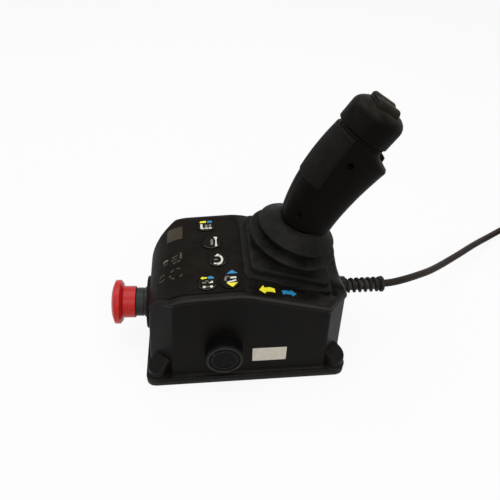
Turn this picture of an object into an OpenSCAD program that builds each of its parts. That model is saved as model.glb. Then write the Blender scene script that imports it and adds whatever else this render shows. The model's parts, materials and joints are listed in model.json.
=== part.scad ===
// Platform control box: a moulded control housing with a key panel, a push-pull stop button,
// a sounder, a raked joystick with thumb rocker and trigger, and a cable with a spiral bend relief.
// Frame: +X towards the cable end, +Y to the operator's left, +Z up.
// The origin is the centre of the underside of the base.

/* [Housing] */
// Length of the base flange along X
base_l = 177; // [170:1:190]
// Width of the base flange along Y
base_w = 129; // [124:1:140]
// Height of the base flange
flange_h = 8; // [7:0.5:12]
// Corner radius of the base flange
flange_r = 8; // [6:0.5:10]
// Ledge of the flange outside the side walls
side_ledge = 4.3; // [3:0.1:6]
// Ledge of the flange outside the rear and front walls
end_ledge = 3; // [2:0.1:5]
// Wall thickness of the moulding
wall = 3; // [2.4:0.1:3.6]
// Inward lean of the two side walls
side_draft = 5.4; // [3:0.1:7]
// Inward lean of the rear wall
rear_lean = 4; // [2:0.5:6]
// Place of the ridge between panel and deck along X
ridge_x = -2.3; // [-8:0.1:4]
// Height of the ridge
ridge_z = 98.5; // [94:0.5:106]
// Radius over the ridge
ridge_r = 40; // [20:1:50]
// Fall of the key panel towards the operator
panel_angle = 2.5; // [1:0.1:5]
// Fall of the joystick deck towards the cable end
deck_angle = 18.4; // [14:0.1:20]
// Length of the rolled shoulder, from the rear wall
shoulder_run = 26; // [22:0.5:30]
// Height at which the shoulder meets the rear wall
shoulder_z = 70; // [66:0.5:76]
// Upper radius of the shoulder
shoulder_top_r = 28; // [18:1:32]
// Lower radius of the shoulder
shoulder_low_r = 50; // [30:1:54]
// Length of a rear corner cut along X
rear_cut_l = 20.5; // [16:0.5:24]
// Width of a rear corner cut along Y
rear_cut_w = 18; // [14:0.5:20]
// Length of a front corner cut along X
front_cut_l = 16.5; // [14:0.5:20]
// Width of a front corner cut along Y
front_cut_w = 15; // [12:0.5:18]
// Height of the lip round the top edge
lip_h = 4.5; // [3:0.1:6]
// Overhang of the lip outside the wall
lip_out = 1.4; // [0.8:0.1:2]

/* [Base closure] */
// Thickness of the base plate
plate_t = 2; // [1.6:0.1:3]
// Thickness of the base gasket
gasket_t = 1; // [0.6:0.1:1.5]
// Width of the flange rim round the base plate
rim_w = 3; // [2:0.1:4]
// Width of the base gasket
gasket_w = 13; // [12:0.5:15]
// Radius of a corner boss
boss_r = 9; // [8:0.1:9.5]
// Height at which a corner boss starts to dome
boss_h = 20; // [14:0.5:26]
// Inset of the corner bosses from the flange edge
boss_inset = 10; // [9.6:0.1:12]
// Diameter of the base screws
base_screw_d = 4; // [3:0.5:5]
// Length of the base screws
base_screw_l = 16; // [12:1:20]

/* [Panel and keys] */
// Thickness of the panel overlay
skin = 0.7; // [0.4:0.1:1]
// Border of bare housing beside the overlay
overlay_border = 4; // [3:0.5:6]
// Lowest edge of the overlay on the rear shoulder
overlay_low = 62; // [61:0.5:66]
// Gap between the overlay's front edge and the boot's foot
overlay_gap = 0.5; // [0.3:0.1:2]
// Diameter of a key
key_d = 16.6; // [12:0.1:17]
// Distance of the outer keys from the overlay's side edges
key_edge = 11; // [10:0.1:12]
// Height of a key over the overlay
key_rise = 0.9; // [0.8:0.1:1.5]
// Travel of a key
key_travel = 0.6; // [0.3:0.1:0.7]
// Diameter of a key's stem
key_stem_d = 7; // [5:0.5:9]
// Length of the display window over the shoulder
window_l = 15; // [12:0.5:16]
// Width of the display window
window_w = 17; // [14:0.5:18]
// Place of the display window's centre along X
window_x = -58.3; // [-60:0.1:-57]
// Distance of the display window's centre from the overlay's far edge
window_edge = 17.6; // [17.6:0.1:22]

/* [Control board] */
// Depth of the board's upper face under the panel
board_drop = 12; // [11:0.5:15]
// Length of the board
board_l = 43; // [40:0.5:44]
// Gap between the board's sides and the housing walls
board_side_gap = 2.3; // [1.5:0.1:2.8]
// Distance of the board's front edge from the ridge
board_front = 4; // [3.5:0.5:6]
// Thickness of the board
board_t = 1.6; // [1:0.1:2]
// Inset of the board's posts from its edges
post_inset = 4.2; // [4:0.1:4.6]
// Radius of a board post
post_r = 3.5; // [3:0.1:4]
// Diameter of the board screws
board_screw_d = 2.5; // [2:0.1:3]

/* [Stop button] */
// Height of the stop button's axis at the rear wall
stop_z = 40; // [36:0.5:42]
// Diameter of the stop button's head
stop_head_d = 40; // [34:0.5:44]
// Diameter of the stop button's skirt
stop_skirt_d = 29; // [28.8:0.1:31]
// Diameter of the fixed collar
stop_collar_d = 26; // [25.2:0.1:26.4]
// Diameter of the round plate on the wall
stop_plate_d = 41; // [36:0.5:44]
// Thickness of the round plate
stop_plate_t = 3.5; // [2:0.1:5]
// Travel of the stop button
stop_travel = 5; // [3:0.5:6]
// Diameter of the mounting thread of the collar
stop_thread_d = 22; // [21:0.5:24]
// Diameter of the plunger
stop_stem_d = 14; // [10:0.5:16]

/* [Sounder] */
// Place of the sounder along X
sounder_x = -19.8; // [-26:0.1:-14]
// Height of the sounder's axis at the wall
sounder_z = 39; // [37:0.5:46]
// Diameter of the sounder
sounder_d = 34; // [30:0.5:38]
// Length of the sounder outside the wall
sounder_l = 14; // [10:0.5:18]
// Diameter of the sounder's neck through the wall
sounder_neck_d = 28; // [22:0.5:29]

/* [Joystick] */
// Distance of the joystick from the ridge along the deck
stick_s = 41; // [40:0.5:43]
// Offset of the joystick to the operator's left
stick_t = 6; // [2:0.5:8]
// Side of the boot's square foot
boot_foot = 80; // [76:0.5:82]
// Height of the boot's square block
boot_block_h = 9; // [7:0.5:11]
// Radius of the boot's lower fold
boot_low_r = 39.5; // [37:0.5:41]
// Radius of the boot's upper fold
boot_high_r = 34.3; // [32:0.1:36]
// Height of the boot's top
boot_h = 41; // [38:0.5:44]
// Thickness of the boot's rubber
boot_t = 2; // [1.5:0.1:2.5]
// Radius of the lever rod
rod_r = 6; // [5:0.1:7]
// Depth of the pivot under the deck
pivot_drop = 14; // [13:0.5:16]
// Radius of the pivot pin
pivot_r = 3; // [2:0.1:4]
// Swing of the lever each way
lever_swing = 20; // [12:1:22]
// Side of the mounting plate under the deck
gimbal_plate = 64; // [62:0.5:66]
// Thickness of the mounting plate under the deck
gimbal_t = 4; // [3:0.1:5]
// Gap between the two cheeks that hold the pivot pin
cheek_gap = 28; // [26:0.5:32]
// Thickness of a cheek
cheek_t = 5; // [4:0.5:6]

/* [Grip] */
// Length of the grip from its foot to the cap
grip_l = 88; // [80:1:100]
// Forward rake of the grip at the cap
grip_rake = 11.5; // [6:0.5:14]
// Forward offset of the grip's foot from the rod
grip_foot_u = 2; // [0:0.1:3]
// Depth of the grip's foot behind its axis
grip_foot_r = 21; // [19:0.1:22]
// Depth of the grip's heel in front of its axis
grip_heel_r = 23.2; // [21:0.1:25]
// Depth of the palm swell behind the axis
grip_palm_r = 24.4; // [22:0.1:26]
// Depth of the chin under the trigger in front of the axis
grip_chin_r = 34.2; // [33:0.1:35]
// Depth of the grip's neck behind the axis
grip_neck_r = 21; // [19:0.1:21.5]
// Half width of the grip
grip_half_w = 18.5; // [17:0.1:20]
// Wall of the grip shells
grip_wall = 3; // [2:0.1:3.5]
// Length of the rod inside the grip
rod_in_grip = 30; // [26:0.5:34]
// Thickness of the palm pad
pad_t = 0.9; // [0.6:0.1:1.5]
// Diameter of the grip screws
grip_screw_d = 3; // [2.5:0.1:3.5]
// Height of the lower grip screw over the grip's foot
low_screw_h = 15; // [14:0.1:17]
// Place of the lower grip screw behind the rod
low_screw_back = 12.5; // [12:0.1:13]
// Height of the upper grip screw over the grip's foot
high_screw_h = 68.8; // [67:0.1:70]
// Place of the upper grip screw in front of the rod
high_screw_fore = 6; // [5:0.1:7]
// Half depth of the cap
cap_half_l = 20.6; // [20.4:0.1:23]
// Half width of the cap
cap_half_w = 19.8; // [19:0.1:20.2]
// Offset of the cap behind the grip's axis
cap_back = 1.9; // [1:0.1:3]
// Height of the cap
cap_h = 24; // [22:0.5:28]
// Radius of the cap's upper edge
cap_edge_r = 9; // [5:0.5:10]

/* [Trigger and rocker] */
// Width of the trigger
trigger_w = 14; // [10:0.5:15]
// Place of the trigger's pin in front of the grip's axis
trigger_fore = 19.2; // [18.5:0.1:19.5]
// Depth of the trigger's pin under the chin
trigger_under = 9; // [8.5:0.1:9.5]
// Squeeze of the trigger
trigger_squeeze = 8; // [4:0.5:9]
// Radius of the trigger and rocker pins
small_pin_r = 1.5; // [1.2:0.1:1.8]
// Length of the thumb rocker
rocker_l = 20.5; // [18:0.5:22]
// Width of the thumb rocker
rocker_w = 20; // [18:0.5:21]
// Height of the thumb rocker over the cap
rocker_rise = 5; // [3.5:0.5:6]
// Tilt of the thumb rocker each way
rocker_tilt = 10; // [5:1:12]

/* [Cable] */
// Height of the cable gland on the front wall
gland_z = 49; // [46:0.5:52]
// Diameter of the cord
cord_d = 7; // [6:0.1:7.4]
// Length of the spiral bend relief
spiral_l = 36; // [30:1:40]
// Turns of the spiral bend relief
spiral_turns = 6; // [5:1:8]
// Diameter of the gland's thread
gland_thread_d = 16; // [14:0.5:18]

/* [Fits] */
// Radial running fit of a pin or plunger
running = 0.06; // [0.03:0.01:0.09]
// Gap between a moving piece and its surround
gap = 0.4; // [0.3:0.05:0.6]
// Gap between fixed pieces that fit together
snug = 0.1; // [0.05:0.05:0.2]

/* [Hidden] */
$fn = 64;

black = [0.10, 0.10, 0.10];
dark = [0.16, 0.16, 0.15];
steel = [0.65, 0.66, 0.68];

// Walls and outlines of the housing
x_rear = -base_l / 2 + end_ledge;
x_front = base_l / 2 - end_ledge;
top_z = ridge_z + 12;
far_w = 2 * base_w;
seat_z = plate_t + gasket_t;
function rear_x(z) = x_rear + (z - flange_h) * tan(rear_lean);
function side_y(z) = base_w / 2 - side_ledge - (z - flange_h) * tan(side_draft);
function panel_z(x) = ridge_z - (ridge_x - x) * tan(panel_angle);
function deck_z(x) = ridge_z - (x - ridge_x) * tan(deck_angle);

// Side outline in X and Z, counter-clockwise, with its corner radii
function side_points(z0) = [
    [x_front, z0],
    [x_front, deck_z(x_front)],
    [ridge_x, ridge_z],
    [x_rear + shoulder_run, panel_z(x_rear + shoulder_run)],
    [rear_x(shoulder_z), shoulder_z],
    [rear_x(z0), z0]
];
side_radii = [0, 2.5, ridge_r, shoulder_top_r, shoulder_low_r, 0];

// Plan outline at height z, with its four corner cuts
function plan_points(z) = let (
    y = side_y(z),
    xr = rear_x(z),
    half = [
        [xr, -y + rear_cut_w],
        [xr + rear_cut_l, -y],
        [x_front - front_cut_l, -y],
        [x_front, -y + front_cut_w]
    ]
) concat(half, [for (i = [3:-1:0]) [half[i][0], -half[i][1]]]);

// An outline moved inwards by d: each corner goes along the sum of its two edge normals
function turn_left(v) = [-v[1], v[0]];
function unit(v) = v / norm(v);
function inset(p, d) = let (n = len(p)) [
    for (i = [0:n - 1])
        let (
            n1 = turn_left(unit(p[i] - p[(i + n - 1) % n])),
            n2 = turn_left(unit(p[(i + 1) % n] - p[i]))
        )
        p[i] + d * (n1 + n2) / (1 + n1 * n2)
];

// An outline with each corner rounded by its own radius
function rounded(p, r) = let (n = len(p)) [
    for (i = [0:n - 1])
        let (
            u = unit(p[(i + n - 1) % n] - p[i]),
            v = unit(p[(i + 1) % n] - p[i]),
            half = acos(u * v) / 2,
            c = p[i] + unit(u + v) * r[i] / sin(half),
            s = p[i] + u * r[i] / tan(half) - c,
            a = atan2(s[1], s[0]),
            side = u[0] * v[1] - u[1] * v[0] < 0 ? 1 : -1,
            sweep = side * (180 - 2 * half),
            steps = max(2, ceil(abs(sweep) / 6))
        )
        each r[i] <= 0
            ? [p[i]]
            : [for (k = [0:steps]) c + r[i] * [cos(a + sweep * k / steps), sin(a + sweep * k / steps)]]
];
function side_outline(d, z0 = 0) = rounded(
    inset(side_points(z0), d),
    [for (r = side_radii) r <= 0 ? 0 : max(0.5, r - d)]
);

// A point of a smooth run from a over b to c, with b at share m of the way
function ease(t) = (1 - cos(180 * min(1, t))) / 2;
function via(f, a, b, c, m) = f < m
    ? a + (b - a) * ease(f / m)
    : b + (c - b) * ease((f - m) / (1 - m));

// The overlay's sides, and the places of the keys: distance behind the ridge, and place along Y
overlay_y = side_y(ridge_z) - overlay_border;
overlay_front = ridge_x + (stick_s - boot_foot / 2) * cos(deck_angle) - overlay_gap;
outer_key = overlay_y - key_edge;
keys = [
    ["key_high_torque", [28, outer_key]],
    ["key_horn", [24, 12.5]],
    ["key_speed", [19.5, -10.2]],
    ["key_drive", [29, -outer_key]],
    ["key_lift", [10.6, -outer_key]]
];

// Frames on the faces of the housing: local z is the outward normal
module on_rear(z) translate([rear_x(z), 0, z]) rotate([0, rear_lean - 90, 0]) children();
module on_near(x, z) translate([x, -side_y(z), z]) rotate([90 - side_draft, 0, 0]) children();
module on_front(z) translate([x_front, 0, z]) rotate([0, 90, 0]) children();
module on_panel(p, t) translate([ridge_x, 0, ridge_z]) rotate([0, -panel_angle, 0])
    translate([-p, t, 0]) children();
module on_stick() translate([ridge_x, 0, ridge_z]) rotate([0, deck_angle, 0])
    translate([stick_s, stick_t, 0]) children();

// Small shapes used by several pieces
module tube(r_out, r_in, z0, z1) translate([0, 0, z0]) difference() {
    cylinder(r = r_out, h = z1 - z0);
    translate([0, 0, -1]) cylinder(r = r_in, h = z1 - z0 + 2);
}
module rod(r, z0, z1) translate([0, 0, z0]) cylinder(r = r, h = z1 - z0);
module rounded_box(l, w, r, z0, z1) translate([0, 0, z0]) linear_extrude(z1 - z0) union() {
    square([l - 2 * r, w], center = true);
    square([l, w - 2 * r], center = true);
    for (x = [-1, 1], y = [-1, 1]) translate([x * (l / 2 - r), y * (w / 2 - r)]) circle(r);
}
module at_corners(l, w) for (x = [-1, 1], y = [-1, 1]) translate([x * l / 2, y * w / 2, 0]) children();
module across(w) rotate([90, 0, 0]) linear_extrude(w, center = true) children();

// Housing
module drafted_block(d, z0) hull() {
    for (z = [z0, top_z]) translate([0, 0, z]) linear_extrude(0.01) polygon(inset(plan_points(z), d));
}
module body_block(d, z0 = 0) intersection() {
    across(far_w) polygon(side_outline(d, z0));
    drafted_block(d, z0);
}
module lip() intersection() {
    across(far_w) difference() {
        polygon(side_outline(0));
        polygon(side_outline(lip_h, -lip_h));
    }
    drafted_block(-lip_out, 0);
    translate([rear_x(ridge_z) + rear_cut_l, -base_w, flange_h]) cube([base_l, 2 * base_w, far_w]);
}
module flange_box(d, z0, z1) rounded_box(base_l - 2 * d, base_w - 2 * d, flange_r - d, z0, z1);
module at_bosses() at_corners(base_l - 2 * boss_inset, base_w - 2 * boss_inset) children();
// The board fills the width under the panel, and its front posts stand clear of the keys
board_w = 2 * (side_y(ridge_z - board_drop) - wall - board_side_gap);
front_post_x = 6;
post_y = board_w / 2 - post_inset;
module at_posts() for (x = [post_inset - board_l / 2, front_post_x], y = [-post_y, post_y])
    translate([x, y, 0]) children();
module on_board() on_panel(board_front + board_l / 2, 0) translate([0, 0, -board_drop]) children();
key_hole_r = key_stem_d / 2 + gap;
stop_hole_r = stop_thread_d / 2 + snug;
sounder_hole_r = sounder_neck_d / 2 + snug;
gland_hole_r = gland_thread_d / 2 + snug;
deck_hole_r = rod_r / cos(lever_swing) + pivot_drop * tan(lever_swing) + 8;
gimbal_screw_pitch = gimbal_plate - 10;
gimbal_screw_r = 2;
module shell_blank() difference() {
    union() {
        body_block(0);
        lip();
        flange_box(0, 0, flange_h);
    }
    body_block(wall, -1);
    flange_box(rim_w, -1, seat_z);
}
module housing_shell() color(black) difference() {
    union() {
        shell_blank();
        at_bosses() {
            rod(boss_r, seat_z, boss_h);
            translate([0, 0, boss_h]) sphere(boss_r);
        }
        on_board() at_posts() rod(post_r, 0, board_drop - wall / 2);
    }
    at_bosses() rod(base_screw_d / 2 + snug, 0, base_screw_l + 1);
    on_board() at_posts() rod(board_screw_d / 2 + snug, -1, board_drop - wall - 1);
    for (k = keys) on_panel(k[1][0], k[1][1]) rod(key_hole_r, -2 * wall, wall);
    on_window() cube([window_l - 2 * window_land, window_w - 2 * window_land, 4 * wall], center = true);
    on_rear(stop_z) rod(stop_hole_r, -2 * wall, wall);
    on_near(sounder_x, sounder_z) rod(sounder_hole_r, -2 * wall, wall);
    on_front(gland_z) rod(gland_hole_r, -2 * wall, wall);
    on_stick() {
        rod(deck_hole_r, -2 * wall, wall);
        at_corners(gimbal_screw_pitch, gimbal_screw_pitch) rod(gimbal_screw_r + snug, -2 * wall, wall);
    }
}

// Base closure
module base_plate() color(dark) difference() {
    flange_box(rim_w + snug, 0, plate_t);
    at_bosses() countersink(snug);
}
module countersink(d) {
    rod(base_screw_d / 2 + d, -1, plate_t + 1);
    translate([0, 0, -0.01])
        cylinder(r1 = base_screw_d + d, r2 = base_screw_d / 2 + d, h = base_screw_d / 2 + 0.01);
}
module base_gasket() color([0.2, 0.2, 0.2]) difference() {
    flange_box(rim_w + snug, plate_t, seat_z);
    rounded_box(base_l - 2 * (rim_w + gasket_w), base_w - 2 * (rim_w + gasket_w), flange_r, 0, 2 * seat_z);
    at_bosses() rod(base_screw_d / 2 + snug, 0, 2 * seat_z);
}
module base_screws() color(steel) at_bosses() difference() {
    union() {
        cylinder(r1 = base_screw_d, r2 = base_screw_d / 2, h = base_screw_d / 2);
        rod(base_screw_d / 2, base_screw_d / 2 - 0.5, base_screw_l);
    }
    translate([0, 0, -0.01]) cylinder(r = base_screw_d * 0.35, h = 1.2, $fn = 6);
}

// Panel overlay, keys, display and board
module overlay_area() translate([rear_x(overlay_low), 0, 0]) linear_extrude(far_w) polygon([
    [-far_w, -overlay_y + rear_cut_w],
    [0, -overlay_y + rear_cut_w],
    [rear_cut_l, -overlay_y],
    [overlay_front - rear_x(overlay_low), -overlay_y],
    [overlay_front - rear_x(overlay_low), overlay_y],
    [rear_cut_l, overlay_y],
    [0, overlay_y - rear_cut_w],
    [-far_w, overlay_y - rear_cut_w]
]);
module skin_sheet() intersection() {
    across(far_w) difference() {
        polygon(side_outline(-skin));
        polygon(side_outline(0, -1));
    }
    translate([-far_w, -far_w / 2, overlay_low]) cube([2 * far_w, far_w, far_w]);
}
// The window lies on the upper shoulder: its frame is square to the curve there
shoulder_c = let (
    v = side_points(0)[3],
    half = (180 + panel_angle - atan2(v[1] - shoulder_z, v[0] - rear_x(shoulder_z))) / 2,
    dir = 90 + panel_angle + (90 - half)
) v - [cos(dir), sin(dir)] * shoulder_top_r / sin(half);
window_turn = asin((shoulder_c[0] - window_x) / shoulder_top_r);
window_land = 1;
window_y = overlay_y - window_edge;
module on_window() translate([shoulder_c[0], window_y, shoulder_c[1]]) rotate([0, -window_turn, 0])
    translate([0, 0, shoulder_top_r]) children();
module window_block() on_window() rounded_box(window_l, window_w, 1.5, -2 * wall, 2 * wall);
module panel_overlay() color([0.13, 0.11, 0.09]) difference() {
    intersection() {
        skin_sheet();
        overlay_area();
    }
    window_block();
    for (k = keys) on_panel(k[1][0], k[1][1]) rod(key_d / 2 + gap, -wall, wall);
}
module display_window() color([0.30, 0.28, 0.20]) intersection() {
    skin_sheet();
    window_block();
}
// The display reaches up into its opening and seats under the curved wall
function sagitta(r, half) = r - sqrt(r * r - half * half);
display_l = window_l + 1;
display_top = -wall - sagitta(shoulder_top_r - wall, display_l / 2) - snug;
glass_l = window_l - 2 * window_land - 2 * snug;
glass_w = window_w - 2 * window_land - 2 * snug;
glass_top = -sagitta(shoulder_top_r, glass_l / 2) - snug;
display_t = 5;
module display_module() color(dark) on_window() {
    translate([-display_l / 2, -window_w / 2 - 0.5, display_top - display_t])
        cube([display_l, window_w + 1, display_t]);
    translate([-glass_l / 2, -glass_w / 2, display_top - 1])
        cube([glass_l, glass_w, glass_top - display_top + 1]);
}
module control_board() color([0.05, 0.30, 0.12]) on_board() difference() {
    rounded_box(board_l, board_w, 2, -board_t, 0);
    at_posts() rod(board_screw_d / 2 + snug, -2 * board_t, board_t);
}
module board_screws() color(steel) on_board() at_posts() {
    rod(board_screw_d, -board_t - 2, -board_t);
    rod(board_screw_d / 2, -board_t, board_drop - wall - 2);
}
switch_h = 4;
plunger_h = 1.5;
key_reach = board_drop - switch_h - plunger_h - key_travel - 0.1;
module key_switches() color(dark) for (k = keys) on_panel(k[1][0], k[1][1]) translate([0, 0, -board_drop]) {
    translate([-3, -3, 0]) cube([6, 6, switch_h]);
    rod(1.7, switch_h, switch_h + plunger_h);
}
module key_cap(k) color(black) on_panel(k[1][0], k[1][1]) {
    rotate_extrude() polygon([
        [0, key_travel + 0.1],
        [key_d / 2, key_travel + 0.1],
        [key_d / 2, skin + key_rise - 0.4],
        [key_d / 2 - 0.4, skin + key_rise],
        [key_d / 2 - 1.2, skin + key_rise],
        [key_d / 2 - 1.6, skin + key_rise - 0.4],
        [0, skin + key_rise - 0.4]
    ]);
    rod(key_stem_d / 2, -key_reach, key_travel + 0.2);
}
module key_named(name) for (k = keys) if (k[0] == name) key_cap(k);

// Stop button: a push-pull mushroom on a threaded collar through the rear wall
stop_guide_l = 4.5;
stop_collar_l = 10;
stop_skirt_l = 12;
stop_inner_l = 16;
stop_skirt_at = stop_plate_t + stop_collar_l + 0.5;
stop_head_at = stop_skirt_at + stop_skirt_l;
stop_bore_end = stop_plate_t + stop_collar_l + stop_guide_l + stop_travel + gap;
module stop_plate() color(black) on_rear(stop_z) difference() {
    union() {
        rod(stop_plate_d / 2, 0, stop_plate_t - 1);
        translate([0, 0, stop_plate_t - 1]) cylinder(r1 = stop_plate_d / 2, r2 = stop_plate_d / 2 - 1, h = 1);
    }
    rod(stop_hole_r, -1, stop_plate_t + 1);
}
module stop_collar() color([0.22, 0.23, 0.24]) on_rear(stop_z) difference() {
    union() {
        rod(stop_thread_d / 2, -stop_inner_l, stop_plate_t);
        rod(stop_collar_d / 2, stop_plate_t, stop_plate_t + stop_collar_l);
        rod(stop_collar_d / 2 - 1, stop_plate_t + stop_collar_l, stop_plate_t + stop_collar_l + stop_guide_l);
    }
    rod(stop_stem_d / 2 + running, -stop_inner_l - 1, far_w);
    for (k = [1:3]) translate([0, 0, stop_plate_t + k * stop_collar_l / 4 - 0.5])
        tube(stop_collar_d, stop_collar_d / 2 - 0.7, 0, 1);
}
module stop_nut() color(dark) on_rear(stop_z) difference() {
    rod(stop_thread_d / 2 + 4, -wall - 5, -wall);
    rod(stop_thread_d / 2 + snug, -wall - 6, 0);
}
stop_block_w = stop_thread_d + 8;
stop_block_l = 26;
module stop_contact_block() color(dark) on_rear(stop_z) difference() {
    translate([-stop_block_w / 2, -stop_block_w / 2, -stop_inner_l - stop_block_l])
        cube([stop_block_w, stop_block_w, stop_block_l]);
    rod(stop_stem_d / 2 + 0.6, -stop_inner_l - stop_travel - 2, 0);
}
module stop_button() color([0.78, 0.10, 0.09]) on_rear(stop_z) {
    difference() {
        rotate_extrude() polygon(concat(
            [[0, stop_skirt_at], [stop_skirt_d / 2, stop_skirt_at], [stop_skirt_d / 2, stop_head_at - 1]],
            rounded([
                [stop_head_d / 2 - 2.5, stop_head_at - 1],
                [stop_head_d / 2, stop_head_at + 0.5],
                [stop_head_d / 2, stop_head_at + 5.5],
                [stop_head_d / 2 - 5, stop_head_at + 9]
            ], [0, 1, 3, 0]),
            [[stop_head_d / 2 - 10, stop_head_at + 10], [0, stop_head_at + 10.4]]
        ));
        rod(stop_collar_d / 2 + gap, stop_skirt_at - 1, stop_bore_end);
    }
    rod(stop_stem_d / 2, -stop_inner_l, stop_head_at + 2);
}

// Sounder on the near wall
module sounder_body() color(black) on_near(sounder_x, sounder_z) {
    rotate_extrude() polygon([
        [0, 0],
        [sounder_d / 2, 0],
        [sounder_d / 2, sounder_l - 1.5],
        [sounder_d / 2 - 1.5, sounder_l],
        [sounder_d / 2 - 2.6, sounder_l],
        [sounder_d / 2 - 3.2, sounder_l - 1],
        [sounder_d / 2 - 4.4, sounder_l - 1],
        [sounder_d / 2 - 5, sounder_l - 0.3],
        [sounder_d / 2 - 6, sounder_l - 0.3],
        [sounder_d / 2 - 6.6, sounder_l - 1],
        [0, sounder_l - 1]
    ]);
    rod(sounder_neck_d / 2, -12, 0.5);
}
module sounder_nut() color(dark) on_near(sounder_x, sounder_z) difference() {
    rod(sounder_neck_d / 2 + 4.5, -wall - 5, -wall);
    rod(sounder_neck_d / 2 + snug, -wall - 6, 0);
}

// Joystick mechanism under the deck: a plate with two cheeks, a pin, a lever and a torsion spring.
// The spring's two legs hold a tab of the lever and a tab of the near cheek between them.
gimbal_z = -wall - gimbal_t;
spring_wire_r = 0.7;
spring_r = pivot_r + gap + spring_wire_r + 0.4;
tab_half = spring_r - spring_wire_r - snug;
lever_tab_low = -8.4;
lever_tab_h = 2.2;
frame_tab_top = -norm([tab_half, lever_tab_low]) - gap;
frame_tab_h = 2.5;
cheek_low = pivot_drop - frame_tab_top + frame_tab_h + 0.5;
hub_half = cheek_gap / 2 - 6;
hub_r = -lever_tab_low + 0.1;
cheek_half = hub_r + 1;
module on_pivot() on_stick() translate([0, 0, -pivot_drop]) children();
module cross_bar(r, l) rotate([90, 0, 0]) cylinder(r = r, h = l, center = true);
module at_cheeks() for (y = [-1, 1]) translate([0, y * (cheek_gap + cheek_t) / 2, 0]) children();
module gimbal_frame() color(steel) difference() {
    union() {
        on_stick() difference() {
            rounded_box(gimbal_plate, gimbal_plate, 4, gimbal_z, -wall);
            rod(deck_hole_r, gimbal_z - 1, 0);
        }
        on_stick() at_cheeks() {
            translate([-cheek_half, -cheek_t / 2, -cheek_low])
                cube([2 * cheek_half, cheek_t, cheek_low + gimbal_z + 1]);
            translate([-gimbal_plate / 2 + 5, -cheek_t / 2, gimbal_z])
                cube([gimbal_plate - 10, cheek_t, gimbal_t]);
        }
        on_pivot() translate([-tab_half, -cheek_gap / 2 - 1, frame_tab_top - frame_tab_h])
            cube([2 * tab_half, cheek_gap / 2 - hub_half + 1 - gap, frame_tab_h]);
    }
    on_stick() at_corners(gimbal_screw_pitch, gimbal_screw_pitch) rod(gimbal_screw_r + snug, gimbal_z - 1, 0);
    on_pivot() cross_bar(pivot_r + snug / 2, far_w);
}
module gimbal_screws() color(steel) on_stick() at_corners(gimbal_screw_pitch, gimbal_screw_pitch) {
    rod(2 * gimbal_screw_r, 0, 2.4);
    rod(gimbal_screw_r, gimbal_z - 2, 0.5);
}
pin_half = cheek_gap / 2 + cheek_t + 2;
module pivot_pin() color(steel) on_pivot() cross_bar(pivot_r, 2 * pin_half);
spring_leg = frame_tab_h - frame_tab_top;
spring_steps = 16;
spring_turns = 2.5;
spring_pitch = 2 * spring_wire_r + 0.2;
spring_y = -(cheek_gap / 2 + hub_half) / 2 + spring_turns * spring_pitch / 2;
spring_path = concat(
    [[-spring_r, spring_y, -spring_leg]],
    [
        for (k = [0:spring_steps * spring_turns])
            let (a = 180 - 360 * k / spring_steps)
            [spring_r * cos(a), spring_y - spring_pitch * k / spring_steps, spring_r * sin(a)]
    ],
    [[spring_r, spring_y - spring_pitch * spring_turns, -spring_leg]]
);
module centering_spring() color(steel) on_pivot() wire(spring_path, spring_wire_r, [0, 1, 0], 8);
sensor_w = 20;
sensor_t = 8;
module position_sensor() color(dark) on_pivot() translate([0, -cheek_gap / 2 - cheek_t, 0]) difference() {
    translate([-sensor_w / 2, -sensor_t, -sensor_w / 2])
        cube([sensor_w, sensor_t, sensor_w / 2 + pivot_r + 2.5]);
    rotate([90, 0, 0]) cylinder(r = pivot_r + gap, h = 3);
}
grip_z = boot_h + gap;
module lever() color(steel) difference() {
    union() {
        on_pivot() {
            cross_bar(hub_r, 2 * hub_half);
            translate([-tab_half, -cheek_gap / 2 + gap, lever_tab_low])
                cube([2 * tab_half, cheek_gap / 2 - gap, lever_tab_h]);
        }
        on_stick() rod(rod_r, -pivot_drop, grip_z + rod_in_grip);
    }
    on_pivot() cross_bar(pivot_r + running, far_w);
}

// Rubber boot: a square foot and block with a two-fold bellows
boot_block = boot_foot - 7;
boot_neck_r = grip_half_w + 1;
boot_root = 9;
boot_waist = 7;
boot_foot_h = 3;
fold_1 = boot_block_h + 0.41 * (boot_h - boot_block_h);
fold_2 = boot_block_h + 0.705 * (boot_h - boot_block_h);
waist_1 = boot_block_h + 4;
waist_2 = fold_1 + 2.5;
module boot() color(dark) on_stick() {
    difference() {
        union() {
            rounded_box(boot_foot, boot_foot, 6, 0, boot_foot_h);
            rounded_box(boot_block, boot_block, 8, 0, boot_block_h);
        }
        rounded_box(boot_block - 2 * boot_t, boot_block - 2 * boot_t, 7, -1, boot_block_h - boot_t);
        rod(boot_low_r - boot_root - boot_t, 0, far_w);
    }
    rotate_extrude() polygon(concat(
        [
            [boot_low_r - boot_root, boot_block_h - 0.5],
            [boot_low_r - boot_waist, waist_1],
            [boot_low_r, fold_1 - 1],
            [boot_low_r - 0.8, fold_1],
            [boot_high_r - boot_waist, waist_2]
        ],
        rounded([
            [boot_high_r, fold_2 - 1],
            [boot_high_r - 0.3, fold_2 + 0.3],
            [boot_neck_r + 2, boot_h - 0.8],
            [boot_neck_r, boot_h]
        ], [0, 1, 3, 0]),
        [
            [rod_r + gap, boot_h],
            [rod_r + gap, boot_h - boot_t],
            [boot_neck_r - 1, boot_h - boot_t],
            [boot_high_r - 2.3 * boot_t, fold_2 - 1.2],
            [boot_high_r - boot_waist - boot_t, waist_2],
            [boot_low_r - 2.3 * boot_t, fold_1 - 1.6],
            [boot_low_r - boot_waist - boot_t, waist_1],
            [boot_low_r - boot_root - boot_t, boot_block_h - 0.5]
        ]
    ));
}

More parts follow.
